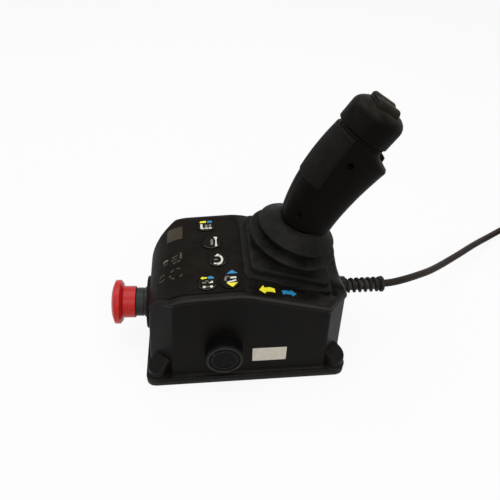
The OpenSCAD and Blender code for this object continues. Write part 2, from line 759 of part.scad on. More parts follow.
// Grip: oval sections along a raked axis, split into two shells. The front swells to a chin under the
// trigger and then falls back to the neck.
sides = 28;
stations = [0, 0.12, 0.25, 0.37, 0.48, 0.58, 0.67, 0.74, 0.79, 0.82, 0.845, 0.87, 0.895, 0.92, 0.94, 1];
chin_f = 0.82;
chin_drop = 0.15;
chin_power = 1.6;
palm_f = 0.5;
roundness = 2.4;
grip_neck_front = grip_neck_r - 2 * cap_back;
function grip_lean(f) = atan(2 * grip_rake * f / grip_l);
function grip_axis(f) = [grip_foot_u + grip_rake * f * f, 0, grip_z + grip_l * f];
function back_r(f) = via(f, grip_foot_r, grip_palm_r, grip_neck_r, palm_f);
function front_r(f) = f < chin_f
    ? grip_heel_r + (grip_chin_r - grip_heel_r) * pow(f / chin_f, chin_power)
    : grip_chin_r + (grip_neck_front - grip_chin_r) * ease((f - chin_f) / chin_drop);
function width_r(f) = via(f, grip_half_w - 0.5, grip_half_w + 0.5, grip_half_w, palm_f);
function oval(c) = sign(c) * pow(abs(c), 2 / roundness);
function grip_ring(f, d) = [
    for (k = [0:sides - 1])
        let (
            a = 360 * k / sides,
            x = oval(cos(a)) * ((cos(a) < 0 ? back_r(f) : front_r(f)) + d),
            y = oval(sin(a)) * (width_r(f) + d),
            t = grip_lean(f)
        )
        grip_axis(f) + [x * cos(t), y, -x * sin(t)]
];
module loft(ring_list) {
    n = len(ring_list[0]);
    m = len(ring_list);
    polyhedron(
        points = [for (r = ring_list) each r],
        faces = concat(
            [[for (k = [0:n - 1]) k]],
            [
                for (j = [0:m - 2], k = [0:n - 1])
                    let (a = j * n + k, b = j * n + (k + 1) % n)
                    each [[a, a + n, b], [b, a + n, b + n]]
            ],
            [[for (k = [n - 1:-1:0]) (m - 1) * n + k]]
        )
    );
}
// A round wire along a path: up is a direction that the path never follows
module wire(path, r, up, n) {
    last = len(path) - 1;
    loft([
        for (i = [0:last])
            let (
                d = unit(path[min(last, i + 1)] - path[max(0, i - 1)]),
                s = unit(cross(up, d)),
                u = cross(d, s)
            )
            [for (k = [0:n - 1]) path[i] + r * (s * cos(360 * k / n) + u * sin(360 * k / n))]
    ]);
}
module grip_form(d, f0 = 0, f1 = 1) loft([
    for (f = concat([f0], [for (t = stations) if (t > f0 + 0.01 && t < f1 - 0.01) t], [f1])) grip_ring(f, d)
]);
grip_screw_places = [[-low_screw_back, grip_z + low_screw_h], [high_screw_fore, grip_z + high_screw_h]];
module at_grip_screws() for (s = grip_screw_places) translate([s[0], 0, s[1]]) rotate([90, 0, 0]) children();

// Trigger: hinged at its lower end, with a finger notch between two teeth
trigger_pivot = [grip_axis(chin_f)[0] + trigger_fore, grip_axis(chin_f)[2] - trigger_under];
trigger_pin_l = trigger_w + 7;
trigger_shape = [
    [3.5, -3.5], [9, -1], [12.2, 3], [13, 4.6], [7, 8.6], [6, 10.5],
    [6.3, 14], [3, 16], [-2.5, 16], [-4.5, 10], [-3.5, -3.5]
];
trigger_radii = [2.5, 2, 0.8, 0.8, 1.5, 1, 1.2, 1.5, 2, 3, 2.5];
function squeezed(p, a) = [p[0] * cos(a) - p[1] * sin(a), p[1] * cos(a) + p[0] * sin(a)];
trigger_reach = -min([for (p = trigger_shape) squeezed(p, trigger_squeeze)[0]]);
module at_trigger() translate([trigger_pivot[0], 0, trigger_pivot[1]]) children();
// The slot is the room that the trigger sweeps, without its finger notch
notch = [4, 5];
swept = [for (i = [0:len(trigger_shape) - 1]) if (i < notch[0] || i > notch[1]) trigger_shape[i]];
module trigger_slot() at_trigger() for (a = [0:trigger_squeeze / 4:trigger_squeeze])
    across(trigger_w + 2 * gap) polygon(inset([for (p = swept) squeezed(p, a)], -gap));
switch_l = 9;
switch_w = 12;
switch_z = 4;
switch_rise = 11;
holder_t = 1.6;
module switch_box(d, w) at_trigger()
    translate([-trigger_reach - gap - switch_l - d, -w / 2 - d, switch_z - d])
    cube([switch_l + 2 * d, w + 2 * d, switch_rise + 2 * d]);
screw_head_y = grip_half_w - 8;
module grip_half(side) color(black) on_stick() difference() {
    intersection() {
        union() {
            difference() {
                grip_form(0);
                grip_form(-grip_wall, (rod_in_grip + 3) / grip_l, 1.2);
            }
            intersection() {
                grip_form(-0.5);
                union() {
                    at_grip_screws() cylinder(r = grip_screw_d + 2, h = far_w, center = true);
                    at_trigger() cross_bar(small_pin_r + 2.5, far_w);
                    switch_box(holder_t, far_w);
                }
            }
        }
        translate([-far_w / 2, side < 0 ? -far_w : 0, -far_w]) cube([far_w, far_w, 2 * far_w]);
    }
    rod(rod_r + snug, 0, grip_z + rod_in_grip + 1);
    at_grip_screws() cylinder(r = grip_screw_d / 2 + snug, h = far_w, center = true);
    if (side < 0) at_grip_screws() rod(grip_screw_d + snug, screw_head_y, far_w);
    if (side > 0) at_grip_screws() rod(grip_screw_d + snug, -far_w, -screw_head_y - 1);
    at_trigger() cross_bar(small_pin_r + snug / 2, trigger_pin_l + 2 * gap);
    trigger_slot();
    switch_box(snug, switch_w);
}
module grip_near_half() grip_half(-1);
module grip_far_half() grip_half(1);
module grip_screws() color(steel) on_stick() at_grip_screws() {
    rod(grip_screw_d, screw_head_y, screw_head_y + 2.5);
    rod(grip_screw_d / 2, -screw_head_y, screw_head_y + 0.5);
}
module trigger() color(black) on_stick() at_trigger() difference() {
    across(trigger_w) polygon(rounded(trigger_shape, trigger_radii));
    cross_bar(small_pin_r + running, far_w);
}
module trigger_pin() color(steel) on_stick() at_trigger() cross_bar(small_pin_r, trigger_pin_l);
module trigger_switch() color(dark) on_stick() switch_box(0, switch_w);
// The pad covers the back of the grip, from the palm to the neck
pad_low = 0.46;
pad_high = 0.97;
pad_back = 12;
module grip_pad() color(dark) on_stick() difference() {
    grip_form(pad_t, pad_low, pad_high);
    grip_form(0.02, pad_low - 0.1, pad_high + 0.1);
    translate(grip_axis(0.7)) rotate([0, grip_lean(0.7), 0]) translate([-pad_back, -far_w / 2, -far_w / 2])
        cube([far_w, far_w, far_w]);
}

// Cap with its thumb rocker, in the frame of the grip's upper end; a spigot holds it in the neck
module on_cap() on_stick() translate(grip_axis(1)) rotate([0, grip_lean(1), 0])
    translate([-cap_back, 0, 0]) children();
seam = 0.3;
spigot_f = 0.955;
cap_end = cap_half_l - cap_half_w;
cap_top = seam + cap_h;
cap_profile = rounded([
    [0, seam],
    [cap_half_w, seam],
    [cap_half_w, cap_top],
    [0, cap_top]
], [0, 1.2, cap_edge_r, 0]);
module oval_solid(profile) {
    for (x = [-1, 1]) translate([x * cap_end, 0, 0]) rotate_extrude() polygon(profile);
    rotate([90, 0, 90]) linear_extrude(2 * cap_end, center = true) {
        polygon(profile);
        mirror([1, 0]) polygon(profile);
    }
}
rocker_drop = 4.5;
rocker_low = 4;
rocker_half = rocker_w / 2;
rocker_back = 1.5;
rocker_slot_half = rocker_half * cos(rocker_tilt) + rocker_drop * sin(rocker_tilt) + gap;
rocker_slot_low = rocker_low * cos(rocker_tilt) + rocker_half * sin(rocker_tilt) + gap;
rocker_top = rocker_drop + rocker_rise;
thumb_l = 17;
thumb_w = 13.6;
thumb_floor = seam + 3;
module at_rocker() translate([-rocker_back, 0, cap_top - rocker_drop]) children();
module grip_cap() color(black) difference() {
    union() {
        on_cap() oval_solid(cap_profile);
        on_stick() grip_form(-grip_wall - snug, spigot_f, 1.01);
    }
    on_cap() {
        at_rocker() {
            translate([-rocker_l / 2 - gap, -rocker_slot_half, -rocker_slot_low])
                cube([rocker_l + 2 * gap, 2 * rocker_slot_half, far_w]);
            rotate([0, 90, 0]) cylinder(r = small_pin_r + snug / 2, h = rocker_l + 8, center = true);
        }
        translate([-rocker_back - thumb_l / 2 - snug, -thumb_w / 2 - snug, thumb_floor])
            cube([thumb_l + 2 * snug, thumb_w + 2 * snug, far_w]);
    }
}
module rocker() color(black) on_cap() at_rocker() difference() {
    rotate([90, 0, 90]) linear_extrude(rocker_l, center = true) polygon(rounded([
        [-rocker_half + 1.5, -rocker_low],
        [rocker_half - 1.5, -rocker_low],
        [rocker_half, rocker_top - 2],
        [rocker_half - 3.5, rocker_top],
        [0, rocker_top - 2.6],
        [-rocker_half + 3.5, rocker_top],
        [-rocker_half, rocker_top - 2]
    ], [1, 1, 1.5, 2, 3, 2, 1.5]));
    rotate([0, 90, 0]) cylinder(r = small_pin_r + running, h = far_w, center = true);
}
module rocker_pin() color(steel) on_cap() at_rocker() rotate([0, 90, 0])
    cylinder(r = small_pin_r, h = rocker_l + 7, center = true);
module rocker_switch() color(dark) on_cap() translate([-rocker_back - thumb_l / 2, -thumb_w / 2, thumb_floor])
    cube([thumb_l, thumb_w, cap_top - rocker_drop - rocker_slot_low - thumb_floor]);

// Cable: gland, spiral bend relief, lead, coil with tie, and plug
gland_hex_h = 6;
gland_hex_r = gland_thread_d / 2 + 4;
cord_hole_r = cord_d / 2 + snug;
module cable_gland() color(black) on_front(gland_z) difference() {
    union() {
        cylinder(r = gland_hex_r, h = gland_hex_h, $fn = 6);
        rod(gland_thread_d / 2, -wall - 8, 1);
        rod(gland_hex_r - 3, gland_hex_h - 1, gland_hex_h + 5);
    }
    rod(cord_hole_r, -far_w, far_w);
}
module gland_locknut() color(dark) on_front(gland_z) difference() {
    translate([0, 0, -wall - 5]) cylinder(r = gland_hex_r, h = 5, $fn = 6);
    rod(gland_hole_r, -wall - 6, 0);
}
spiral_wire_r = 1.4;
spiral_at = gland_hex_h + 5;
spiral_mean_r = cord_d / 2 + spiral_wire_r + 0.9;
spiral_steps = 14;
spiral_pitch = (spiral_l - 2 * spiral_wire_r) / spiral_turns;
spiral_path = [
    for (j = [0:spiral_steps * spiral_turns])
        let (a = 360 * j / spiral_steps)
        [spiral_mean_r * cos(a), spiral_mean_r * sin(a), spiral_pitch * j / spiral_steps]
];
module spiral_relief() color(black) on_front(gland_z) translate([0, 0, spiral_at + spiral_wire_r])
    wire(spiral_path, spiral_wire_r, [0, 0, 1], 6);
// Route of the cord: out of the gland, down to the floor and away to the outer turn of the coil
cord_floor = cord_d / 2;
turn_pitch = cord_d - 0.1;
coil_at = [374, 103];
coil_r = 38;
coil_out = coil_r + turn_pitch / 2;
coil_enter = 108;
cord_points = [
    [x_front - wall - 6, 0, gland_z],
    [x_front + spiral_at + spiral_l / 2, 0, gland_z],
    [x_front + spiral_at + spiral_l, 0, gland_z],
    [144, 1, 48.6],
    [158, 6, 47],
    [175, 15.6, 43.5],
    [192, 27, 39],
    [208.5, 39.5, 34.5],
    [225.5, 52.5, 29.5],
    [246, 67.5, 23.5],
    [266, 82.5, 17.5],
    [282, 94, 12.8],
    [298, 105, 8.7],
    [318, 118, cord_floor + 1.9],
    [338, 130, cord_floor + 0.3],
    [coil_at[0] + coil_out * cos(coil_enter), coil_at[1] + coil_out * sin(coil_enter), cord_floor]
];
// A smooth curve through the points: the cubic of each span keeps the slope of its neighbours
function at(p, i) = p[max(0, min(len(p) - 1, i))];
function curve_point(p, i, t) = let (a = at(p, i - 1), b = at(p, i), c = at(p, i + 1), d = at(p, i + 2))
    b + t * ((c - a) / 2 + t * ((2 * a - 5 * b + 4 * c - d) / 2 + t * (3 * b - a - 3 * c + d) / 2));
function curve(p, steps) = [
    for (i = [0:len(p) - 2], k = [0:steps - 1]) curve_point(p, i, k / steps),
    p[len(p) - 1]
];
module cord_lead() color(black) wire(curve(cord_points, 2), cord_d / 2, [0, 0, 1], 12);
// The coil: two columns of three turns, with the tail that leads to the plug
coil_h = cord_d + 2 * turn_pitch;
tail_z = cord_floor + turn_pitch;
tail_turn = -52;
tail_l = 30;
module at_coil() translate([coil_at[0], coil_at[1], 0]) children();
module on_tail() at_coil() translate([coil_r, 0, tail_z]) rotate([0, 0, tail_turn]) rotate([0, 90, 0])
    children();
module cord_coil() color(black) {
    at_coil() rotate_extrude() {
        for (x = [-1, 1], k = [0:2]) translate([coil_r + x * turn_pitch / 2, cord_floor + k * turn_pitch])
            circle(cord_d / 2);
        translate([coil_r - turn_pitch / 2, cord_floor]) square([turn_pitch, 2 * turn_pitch]);
    }
    on_tail() rod(cord_d / 2, 0, tail_l);
}
tie_w = 4;
tie_t = 1.2;
tie_half = (cord_d + turn_pitch) / 2 + snug;
module cord_tie() color([0.05, 0.05, 0.05]) at_coil() translate([-coil_r, 0, 0]) difference() {
    translate([-tie_half - tie_t, -tie_w / 2, 0])
        cube([2 * (tie_half + tie_t), tie_w, coil_h + snug + tie_t]);
    translate([-tie_half, -tie_w, -1]) cube([2 * tie_half, 2 * tie_w, coil_h + snug + 1]);
}
plug_l = 46;
plug_w = 26;
plug_grip_l = 14;
plug_flange_l = 4;
module cord_plug() color(dark) on_tail() {
    tube(cord_d / 2 + 2.5, cord_d / 2 + snug, tail_l - plug_grip_l, tail_l + 1);
    translate([-tail_z, -plug_w / 2, tail_l]) cube([2 * tail_z, plug_w, plug_l]);
    translate([-tail_z, -plug_w / 2 - 2, tail_l + plug_l - 2 * plug_flange_l])
        cube([2 * tail_z, plug_w + 4, plug_flange_l]);
}

housing_shell();
base_plate();
base_gasket();
base_screws();
panel_overlay();
display_window();
display_module();
control_board();
board_screws();
key_switches();
key_named("key_high_torque");  // key_high_torque
key_named("key_horn");  // key_horn
key_named("key_speed");  // key_speed
key_named("key_drive");  // key_drive
key_named("key_lift");  // key_lift
stop_plate();
stop_collar();
stop_nut();
stop_contact_block();
stop_button();
sounder_body();
sounder_nut();
gimbal_frame();
gimbal_screws();
pivot_pin();
centering_spring();
position_sensor();
boot();
lever();
grip_near_half();
grip_far_half();
grip_pad();
grip_screws();
grip_cap();
trigger();
trigger_pin();
trigger_switch();
rocker();
rocker_pin();
rocker_switch();
cable_gland();
gland_locknut();
spiral_relief();
cord_lead();
cord_coil();
cord_tie();
cord_plug();
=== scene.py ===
"""Looks of a platform control box: moulded skins, boot, grip, printed marks, cord, finishes and light."""
import json
import math

import bmesh
import bpy
import numpy as np
from mathutils import Matrix


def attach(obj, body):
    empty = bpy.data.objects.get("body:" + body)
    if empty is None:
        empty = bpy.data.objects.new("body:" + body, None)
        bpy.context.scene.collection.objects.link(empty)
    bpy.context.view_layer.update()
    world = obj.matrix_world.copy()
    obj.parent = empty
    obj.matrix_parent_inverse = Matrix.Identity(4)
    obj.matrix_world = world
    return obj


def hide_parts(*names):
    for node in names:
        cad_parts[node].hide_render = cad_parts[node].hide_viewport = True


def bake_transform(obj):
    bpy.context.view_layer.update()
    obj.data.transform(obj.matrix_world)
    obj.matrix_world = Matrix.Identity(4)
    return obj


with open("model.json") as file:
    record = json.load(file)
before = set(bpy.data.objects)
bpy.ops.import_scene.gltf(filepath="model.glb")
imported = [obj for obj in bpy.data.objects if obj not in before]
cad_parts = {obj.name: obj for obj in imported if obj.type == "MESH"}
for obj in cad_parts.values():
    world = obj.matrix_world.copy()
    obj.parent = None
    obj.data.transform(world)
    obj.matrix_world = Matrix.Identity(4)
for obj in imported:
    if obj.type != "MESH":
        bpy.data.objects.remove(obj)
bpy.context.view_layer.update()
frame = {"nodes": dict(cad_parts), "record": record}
NODES = frame["nodes"]

# Sizes are millimetres and degrees, unless a line says otherwise; MM turns them into the frame's metres
MM = 0.001

# Housing: base flange, with the rows of its underside as (inset, height)
BASE_L = 177
BASE_W = 129
FLANGE_H = 8
FLANGE_R = 8
FLANGE_EDGE = 1.8
SEAT_Z = 3
RIM = 3
FLANGE_FOOT = [(RIM, SEAT_Z), (RIM, 0.2), (RIM - 0.2, 0), (0.9, 0), (0.25, 0.25), (0, 0.9)]

# Housing: walls, with each cut corner as (along X, along Y)
WALL = 3
INNER_DROP = 5
SIDE_LEDGE = 4.3
END_LEDGE = 3
SIDE_DRAFT = 5.4
REAR_LEAN = 4
REAR_CUT = (20.5, 18)
FRONT_CUT = (18, 22)
FRONT_PROUD = 1.5
CORNER_R = 4
ROOT_LEAST = 1.0
ROOT_MOST = 2.4
PLAN_STEP = 2.2
PLAN_RISE = 50

# Housing: top, with the ridge as (x, z), and the shown and the frame's shoulder as (run, height, two radii)
RIDGE = (-2.3, 98.5)
RIDGE_R = 40
PANEL_ANGLE = 2.5
DECK_ANGLE = 18.4
SHOULDER = (22.5, 74, (36, 36))
FRAME_SHOULDER = (26, 70, (50, 28))
SHOULDER_STATIONS = 1200
SHOULDER_CUTS = range(300, 600, 8)
DECK_HOLE_R = 19.4
FOOT_HALF = 40.5
DECK_RISE = 4.6
DIP_HALF = 5
DIP_RUN = 22
OVERLAY_T = 0.7

# Housing: lip along the top edge, with the rows of its foot as (drop below the edge, out of the wall)
LIP_OUT = 1.4
LIP_BEAD = 3.0
LIP_DROP = 7.4
LIP_FOOT = [(6.4, 0), (5.8, 0.05), (5.4, 0.2), (5.1, 0.5), (4.85, 0.95), (4.5, 1.25), (4, 1.38)]
LIP_BLEND = 4
# Painted highlight: how far below the lip's edge it reaches, and its strongest share, also used on the
# sounder's rings
LIP_HIGHLIGHT_DROP = 4.6
PAINTED_HIGHLIGHT_MOST = 0.45

# Housing: corner bosses, with the rows of their fillet as (out of the post, above the flange)
BOSS_R = 8.5
BOSS_INSET = 10
BOSS_AHEAD = 1
BOSS_MID = 21.8
BOSS_SLOPE = 0.48
BOSS_RIM = 1.6
BOSS_FOOT = 2
BOSS_FILLET = [(1.4, -1), (1.3, -0.02), (0.6, 0.3), (0.2, 0.9), (0.06, BOSS_FOOT)]

# Boot: place on the deck, square rows as (half width, corner radius, height), others as (radius, height)
STICK_S = 41
STICK_T = 6
BOOT_TOP = 41
BOOT_BEND = 10.5
BOOT_SQUARE = [(40, 6, 0.05), (40, 6, 2.2), (39.8, 5.9, 2.7), (39.2, 5.6, 3), (37.4, 8.6, 3.1),
               (36.8, 8.3, 3.4), (36.5, 8, 4), (36.4, 8, 8), (36.1, 8.2, 9), (35.4, 8.4, 9.7),
               (34.4, 8.8, 10)]
BOOT_BELLOWS = [(33.2, 10.2), (31.9, 10.8), (31.3, 11.8), (31.8, 13), (33.4, 14.4), (35.6, 16),
                (37.8, 17.9), (39.2, 19.8), (39.6, 21.2), (39.2, 22.2), (37.6, 22.9), (34.6, 23.4),
                (31.4, 23.8), (29.0, 24.2), (27.7, 24.8), (27.5, 25.6), (28.3, 26.7), (30.2, 28.1),
                (32.4, 29.5), (33.9, 30.6), (34.3, 31.4), (33.9, 32.2), (32.2, 33.4), (29.6, 35),
                (26.8, 36.8), (24.2, 38.6), (22.2, 40), (20.8, 40.7), (19.5, 41)]
BOOT_INSIDE = [(17.6, 41), (20.5, 38.8), (27.5, 34.2), (32, 31.4), (26.2, 26.8), (25.6, 25), (33, 22),
               (37, 20.8), (30.6, 14), (29.6, 11.6), (29.4, 8)]
BOOT_MOUTH = (30, 12, 0.05)

# Grip: reach ahead of and behind its axis, with F for a share of its length
GRIP_Z = 41.4
GRIP_L = 88
GRIP_RAKE = 11.5
GRIP_FOOT_U = 2
GRIP_FOOT_R = 21
GRIP_HEEL_R = 23.2
GRIP_PALM_R = 24.4
GRIP_CHIN_R = 34.2
GRIP_NECK_R = 21
GRIP_NECK_FRONT = 17.2
GRIP_HALF_W = 18.5
GRIP_WAIST = 0.5
GRIP_EDGE = 1.6
CHIN_F = 0.82
CHIN_DROP = 0.15
CHIN_POWER = 1.3
PALM_F = 0.5
ROUNDNESS = 2.4

# Grip: seam, groove under the cap, trigger slot and screw wells at (u, w) in the joystick's frame
SEAM_DEPTH = 0.35
SEAM_HALF = 0.6
SPLIT_HALF = 0.06
GROOVE_F = (0.972, 0.981)
GROOVE_DEPTH = 0.5
SLOT_F = (0.815, 0.962)
SLOT_HALF = 7.5
SLOT_DEPTH = 13
LINE_GAP = 0.0012
SCREW_SPOTS = ((-12.5, 56.4), (6, 110.2))
WELL_R = 3.0
WELL_DEPTH = 6.0
WELL_ROUND = 3.5
WELL_REACH = 6.4
WELL_LINES = [0, 1.2, 2.2, 2.85, 3.1, WELL_ROUND, 4.2, 5.2, WELL_REACH]

# Grip pad
PAD_F = (0.46, 0.966)
PAD_REACH = 12.0
PAD_T = 0.85
PAD_SUNK = 0.4
RIB_PITCH = 1.3
RIB_DEPTH = 0.35

# Cap, rocker and trigger, whose corners are (x, height, radius)
CAP_BACK = 1.9
CAP_TOP = 24.3
CAP_LONGER_BACK = 2.4
CAP_LONGER_FRONT = 1.2
CAP_BLEND = 8
ROCKER_X = -1.5
ROCKER_HALF_L = 10.1
ROCKER_HALF_W = 9.9
ROCKER_RISE = 5.0
ROCKER_VALLEY = 1.5
ROCKER_FALL = 2.2
ROCKER_EDGE = 1.8
TRIGGER_PIVOT = (28.93, 0, 104.56)
TRIGGER_HALF_W = 6.9
TRIGGER_EDGE = 0.9
TRIGGER_CORNERS = [(3.5, -3.5, 1.5), (9, -1, 3), (12.2, 3, 1.5), (13, 4.6, 1.2), (7, 8.6, 1.5),
                   (6, 10.5, 2.5), (6.3, 14, 1.8), (3, 16, 1.5), (-2.5, 16, 1.5), (-4.5, 10, 3),
                   (-3.5, -3.5, 1.5)]

# Stop button and sounder, whose corners are (distance from the axis, height, radius)
STOP_Z = 40
STOP_BUTTON = [(0.2, -16, 0), (7, -16, 0.4), (7, 23.4, 1.2), (13.4, 23.4, 0.8), (13.4, 14, 0.4),
               (14.5, 14, 0.5), (14.5, 25, 0.8), (17.4, 25.6, 1.2), (20, 27.6, 0.9), (20, 32.2, 1.3),
               (14, 34.8, 16), (0.2, 35.8, 0)]
STOP_COLLAR = [(7.6, -3, 0.3), (11, -3, 0.3), (11, 3.3, 0.1), (13.8, 3.3, 0.2), (13.8, 5.9, 0.5),
               (12.5, 5.9, 0.2), (12.5, 6.9, 0.2), (13, 6.9, 0.2), (13, 13.5, 0.4), (12, 13.5, 0.2),
               (12, 18, 0.4), (7.6, 18, 0.4)]
STOP_PLATE = [(11.2, -2.8, 0.3), (24, -2.8, 0.3), (24, 3.5, 1.4), (11.2, 3.5, 0.3)]
SOUNDER_AT = (-19.8, 39)
SOUNDER_R = 16
SOUNDER_FACE = 13
SOUNDER_CORNERS = [(0.1, -6, 0), (14, -6, 0.3), (14, 0, 0.3), (SOUNDER_R, 0, 0.3),
                   *((SOUNDER_R, height, 0) for height in range(1, 12)),
                   (SOUNDER_R, 12.6, 1.4), (14.3, 13.9, 0.4), (13.6, 14, 0.3), (13, SOUNDER_FACE, 0.4),
                   (10.9, SOUNDER_FACE, 0.2), (10.6, 13.6, 0.2), (10, 13.6, 0.2), (9.7, SOUNDER_FACE, 0.2),
                   *((radius, SOUNDER_FACE, 0) for radius in (8, 6, 4, 2, 0.1))]

# Cable: the relief's places are lengths from the front wall, and the coil's turns are (radius, height)
GLAND_Z = 49
RELIEF_FROM = 11
RELIEF_TO = 46.4
RELIEF_TURNS = 7.4
RELIEF_R = 5.8
RELIEF_WIRE_R = 1.4
RELIEF_RING_AT = 46.2
RELIEF_RING_R = 5.7
RELIEF_RING_WIRE_R = 1.9
RELIEF_SLEEVE = [(3.6, 9.5), (4.7, 9.5), (4.7, 46), (3.6, 46)]
CORD_D = 7
CORD_STEP = 1.5
CORD_LEAD = [(76.5, 0, 49), (95, 0, 49), (114.5, 0, 49), (132.5, 0, 49.4), (144, 1, 49.6), (158, 6, 47.8),
             (175, 15.6, 42.6), (192, 27, 36), (208.5, 39.5, 29.8), (225.5, 52.5, 24.6), (246, 67.5, 20),
             (266, 82.5, 15.6), (282, 94, 12), (298, 105, 8.5), (318, 118, 5.4), (338, 130, 3.8)]
COIL_CENTRE = np.array([374, 103, 0])
COIL_TURNS = [(41.45, 3.5), (34.55, 3.5), (34.55, 10.4), (34.55, 17.3), (41.45, 10.4), (41.45, 17.3)]
COIL_START = 108
COIL_SPIN = 1840
COIL_ARC = 8
COIL_FIRST_STEP = 285
COIL_STEP_EVERY = 300
COIL_STEP_RUN = 60
CORD_TAIL = [(35.4, 29.4, 16.6), (45.8, 17.5, 14.4), (50.6, 3.5, 12), (53, -12, 10.7), (56.5, -23.6, 10.4),
             (62.6, -31.5, 10.4)]

# Keys, printed marks and label
KEY_R = 8.3
KEY_STEM_R = 3.5
KEY_STEM_LOW = -5.8
KEY_FACE = 1.3
KEY_RIM = 1.57
KEY_SPOTS = {"high_torque": (-28, 36.645), "horn": (-24, 12.5), "speed": (-19.5, -10.2),
             "drive": (-29, -36.645), "lift": (-10.6, -36.645)}
PRINT_T = 0.12
PRINT_SUNK = 0.05
SIGN_SHIFT = 1.6
STRIP_NEAR = np.array([(6, -49.3), (57, -46.5)])
STRIP_FAR = np.array([(10, -36.2), (56, -34.9)])
STRIP_T = 0.2
ARROW_LIFT = 0.3
LABEL_AT = (19.7, 29.05)
LABEL_T = 0.18
LABEL_R = 0.7
LABEL_CORNERS = [(-14.8, -7.8), (14.5, -7.8), (14.9, 7.7), (-14.9, 7.8)]

# Studio: floor and lamps in metres and watts, and the camera of the photograph
FLOOR_HALF = 6.0
FLOOR_TONE = 0.75
FLOOR_GLOW = 0.9
WORLD_LEVEL = 0.42
LAMP_AIM = (0, 0, 0.08)
CAMERA_TARGET = np.array([6.24, 0, 98.75])
CAMERA_DISTANCE = 437.83
CAMERA_AZIMUTH = -6.255
CAMERA_ELEVATION = 41.705
CAMERA_ROLL = 1.778
CAMERA_LENS = 36.619

# Angles of a quarter round
QUARTER = np.linspace(0, np.pi / 2, 7)


# Places

def tan(angle):
    """The tangent of an angle in degrees."""
    return math.tan(math.radians(angle))


def smooth(t):
    """The smooth step 3t^2 - 2t^3 between 0 and 1."""
    t = np.clip(t, 0, 1)
    return t * t * (3 - 2 * t)


def unit(v):
    """Vectors of length one."""
    return v / np.linalg.norm(v, axis=-1, keepdims=True)


def frame_at(origin, x_axis, z_axis):
    """A map from local to frame points: origin + x X + y Y + z Z, with Y = Z x X."""
    axes = np.array([x_axis, np.cross(z_axis, x_axis), z_axis], float)
    return lambda points: np.asarray(origin, float) + np.asarray(points, float) @ axes


def turned(angle):
    """The X and Z axes of a frame that is turned by an angle about +Y."""
    c, s = math.cos(math.radians(angle)), math.sin(math.radians(angle))
    return np.array([c, 0, -s]), np.array([s, 0, c])


def spun(points, angle):
    """Flat points turned by an angle about their origin."""
    c, s = math.cos(math.radians(angle)), math.sin(math.radians(angle))
    return points @ np.array([(c, s), (-s, c)])


def rear_x(z):
    """Place of the leaning rear wall at height z."""
    return END_LEDGE - BASE_L / 2 + (z - FLANGE_H) * tan(REAR_LEAN)


def side_y(z):
    """Half width between the drafted side walls at height z."""
    return BASE_W / 2 - SIDE_LEDGE - (z - FLANGE_H) * tan(SIDE_DRAFT)


X_FRONT = BASE_L / 2 - END_LEDGE
DECK_X, DECK_N = turned(DECK_ANGLE)
RIDGE_POINT = np.array([RIDGE[0], 0, RIDGE[1]])
on_deck = frame_at(RIDGE_POINT, DECK_X, DECK_N)
STICK_POINT = on_deck([STICK_S, STICK_T, 0])
on_stick = frame_at(STICK_POINT, DECK_X, DECK_N)
on_panel = frame_at(RIDGE_POINT, *turned(-PANEL_ANGLE))
on_rear = frame_at((rear_x(STOP_Z), 0, STOP_Z), *turned(REAR_LEAN - 90))
on_gland = frame_at((X_FRONT, 0, GLAND_Z), (0, 1, 0), (1, 0, 0))


def on_near(x, z):
    """The frame on the near wall: X along the wall, Z out of it."""
    lean = math.radians(SIDE_DRAFT)
    return frame_at((x, -side_y(z), z), (1, 0, 0), (0, -math.cos(lean), math.sin(lean)))


# Paths

def lengths(path):
    """The length along a path up to each of its points."""
    return np.concatenate([[0], np.cumsum(np.linalg.norm(np.diff(path, axis=0), axis=1))])


def walk(path, run, c):
    """The points of a path at lengths c, where run holds the length up to each of its points."""
    return np.stack([np.interp(c, run, values) for values in path.T], -1)


def rounded(corners, radii, steps=8, closed=True):
    """A path whose corners are arcs, each with its own radius and tangent to its two edges."""
    corners = np.asarray(corners, float)
    path = []
    for i, radius in enumerate(np.broadcast_to(radii, len(corners))):
        here = corners[i]
        if radius == 0 or (not closed and i in (0, len(corners) - 1)):
            path.append(here[None])
            continue
        back, ahead = unit(corners[i - 1] - here), unit(corners[(i + 1) % len(corners)] - here)
        half = math.acos(np.clip(back @ ahead, -1, 1)) / 2
        centre = here + unit(back + ahead) * radius / math.sin(half)
        run = radius / math.tan(half)
        start, end = here + back * run - centre, here + ahead * run - centre
        turn = math.pi - 2 * half
        t = np.linspace(0, 1, steps + 1)[:, None]
        path.append(centre + (np.sin((1 - t) * turn) * start + np.sin(t * turn) * end) / math.sin(turn))
    return np.concatenate(path)


def soft_corners(rows, steps, closed=True):
    """A path through corners that are given as (x, y, radius)."""
    rows = np.asarray(rows, float)
    return rounded(rows[:, :2], rows[:, 2], steps, closed)


def divided(path, counts):
    """A closed path with each of its segments split into a count of equal steps."""
    ahead = np.roll(path, -1, axis=0)
    return np.concatenate([a + (b - a) * np.arange(n)[:, None] / n for a, b, n in zip(path, ahead, counts)])


def outward(path):
    """Outward unit normals along a closed counter-clockwise path, from its neighbours."""
    along = np.roll(path, -1, axis=0) - np.roll(path, 1, axis=0)
    return unit(np.stack([along[:, 1], -along[:, 0]], -1))


def level(path, z):
    """A flat path at one height, or at a height for each of its points."""
    return np.column_stack([path, np.broadcast_to(z, len(path))])


def rounded_box(rays, half, radius):
    """Where rays from the middle meet a rectangle of half sizes, drawn in to the arcs of its corners."""
    push = rays / np.max(np.abs(rays) / half, axis=1)[:, None]
    core = np.clip(push, radius - half, half - radius)
    away = push - core
    return core + radius * away / np.maximum(np.linalg.norm(away, axis=1), 1e-9)[:, None]


